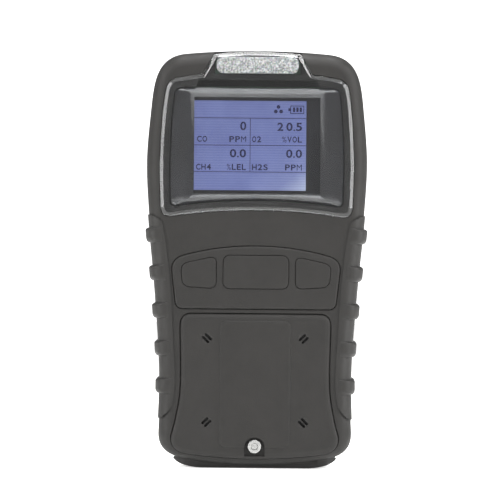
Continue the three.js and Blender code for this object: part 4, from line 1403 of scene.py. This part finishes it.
def build_clip_lever():
    low, high = span("clip_lever")
    pivot_y, pivot_z = clip_pivot()
    inner = lever_faces(pivot_y + 1.7)
    outer = []
    for i, point in enumerate(inner):
        along = heading(inner, i)
        outer.append(point + Vector((along.y, -along.x)) * CLIP_SHEET)
    strip = sideways(outer + list(reversed(inner)), low.x, high.x)
    cut(strip, block((-5.4, 5.4), (20, 30), (pivot_z - 5, pivot_z + 5)))
    for side in (-1, 1):
        ends = sorted((side * 6, side * high.x))
        join(strip, turned(rounded_bar(*ends, 2.9, 0.2), (0, pivot_y, pivot_z), "X"))
    cut(strip, pin_hole())
    for i in range(3):
        z = pivot_z + 8 + 1.8 * i
        reach = pivot_y + 3.9 + 0.26 * (z - pivot_z - 8)
        cut(strip, turned([(-9, 0.45), (9, 0.45)], (0, reach, z), "X", 12))
    finish(strip, "clip_arm", "clip_steel", body="clip_lever", nodes=["clip_lever"], bevel=0.15)


def build_clip_pin():
    low, _ = span("clip_pin")
    y, z = clip_pivot()
    head = [(low.x, 1.2), (low.x + 0.25, 1.9), (low.x + 0.6, 2.2), (low.x + 0.85, 2.2), (low.x + 0.9, 1.5)]
    tail = [(-along, radius) for along, radius in reversed(head)]
    finish(turned(head + tail, (0, y, z), "X"), "clip_pin_steel", "steel", nodes=["clip_pin"])


def build_clip_spring():
    """A torsion spring: turns round the pin, and a leg that lies along the plate."""
    pivot_y, pivot_z = clip_pivot()
    turns, radius, wire, half = 4, 2.55, 0.4, 4
    steps = turns * 28
    path = []
    for i in range(steps + 1):
        angle = 2 * math.pi * turns * i / steps - math.pi / 2
        x = -half + 2 * half * i / steps
        path.append(Vector((x, pivot_y + radius * math.sin(angle), pivot_z - radius * math.cos(angle))))
    path.append(Vector((half + 0.2, pivot_y - radius - 0.2, pivot_z - 2)))
    path.append(Vector((half + 0.3, pivot_y - radius - 0.4, pivot_z - 4)))
    path.append(Vector((half + 0.3, pivot_y - radius - 0.4, pivot_z - 8)))
    finish(tube(path, wire), "clip_spring_wire", "steel", nodes=["clip_spring"])


def tube(path, radius, sides=10):
    """A round wire along a path."""
    rings = []
    across = Vector((1, 0, 0))
    for i, point in enumerate(path):
        along = heading(path, i)
        across = (across - along * across.dot(along)).normalized()
        other = along.cross(across)
        turns = [2 * math.pi * k / sides for k in range(sides)]
        rings.append([point + (across * math.cos(t) - other * math.sin(t)) * radius for t in turns])
    return solid_of(rings)


def build_clip_screws():
    for i, z in enumerate(CLIP_SCREWS_Z, 1):
        node = f"clip_screw_{i}"
        low, high = span(node)
        made = screw(0, z, (2.5, high.y - 1, high.y), low.y, 1, 1.2, 0.6)
        finish(made, node + "_steel", "steel", nodes=[node])


# ---------------------------------------------------------------- CAD pieces that stay

KEPT_LOOKS = {
    "seal_rubber": ["shell_seal", "sensor_cover_seal", "sensor_gasket", "keypad_mat"]
    + [f"port_filter_{i}" for i in range(1, 5)],
    "white_plastic": ["lcd_backlight"],
    "inner_plastic": ["lcd_holder", "battery_holder", "sensor_holder", "buzzer"],
    "circuit_board": ["alarm_led_board", "main_board", "sensor_board"],
    "sensor_can": ["sensor_co", "sensor_ch4", "sensor_o2", "sensor_h2s"],
    "battery": ["battery_cell_1", "battery_cell_2"],
    "steel": ["vibration_motor", "vibration_weight", "charge_socket"],
    "brass": ["cover_screw_insert"],
}


def dress_kept_nodes():
    for slot, nodes in KEPT_LOOKS.items():
        for node in nodes:
            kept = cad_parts[node]
            kept.data.materials.clear()
            kept.data.materials.append(LOOKS[slot])


# ---------------------------------------------------------------- the whole scene

make_camera()
light_studio()
make_floor()
make_surround()
build_front_shell()
build_rear_shell()
build_grip(-1, "grip_left")
build_grip(1, "grip_right")
build_foot()
build_window()
build_mask()
build_light()
build_display()
build_keypad()
build_sensor_cover()
build_cover_screw()
build_case_screws()
build_flap()
build_clip_plate()
build_clip_lever()
build_clip_pin()
build_clip_spring()
build_clip_screws()
dress_kept_nodes()

[[list(corner) for corner in box] for box in (cad_box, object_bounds())]
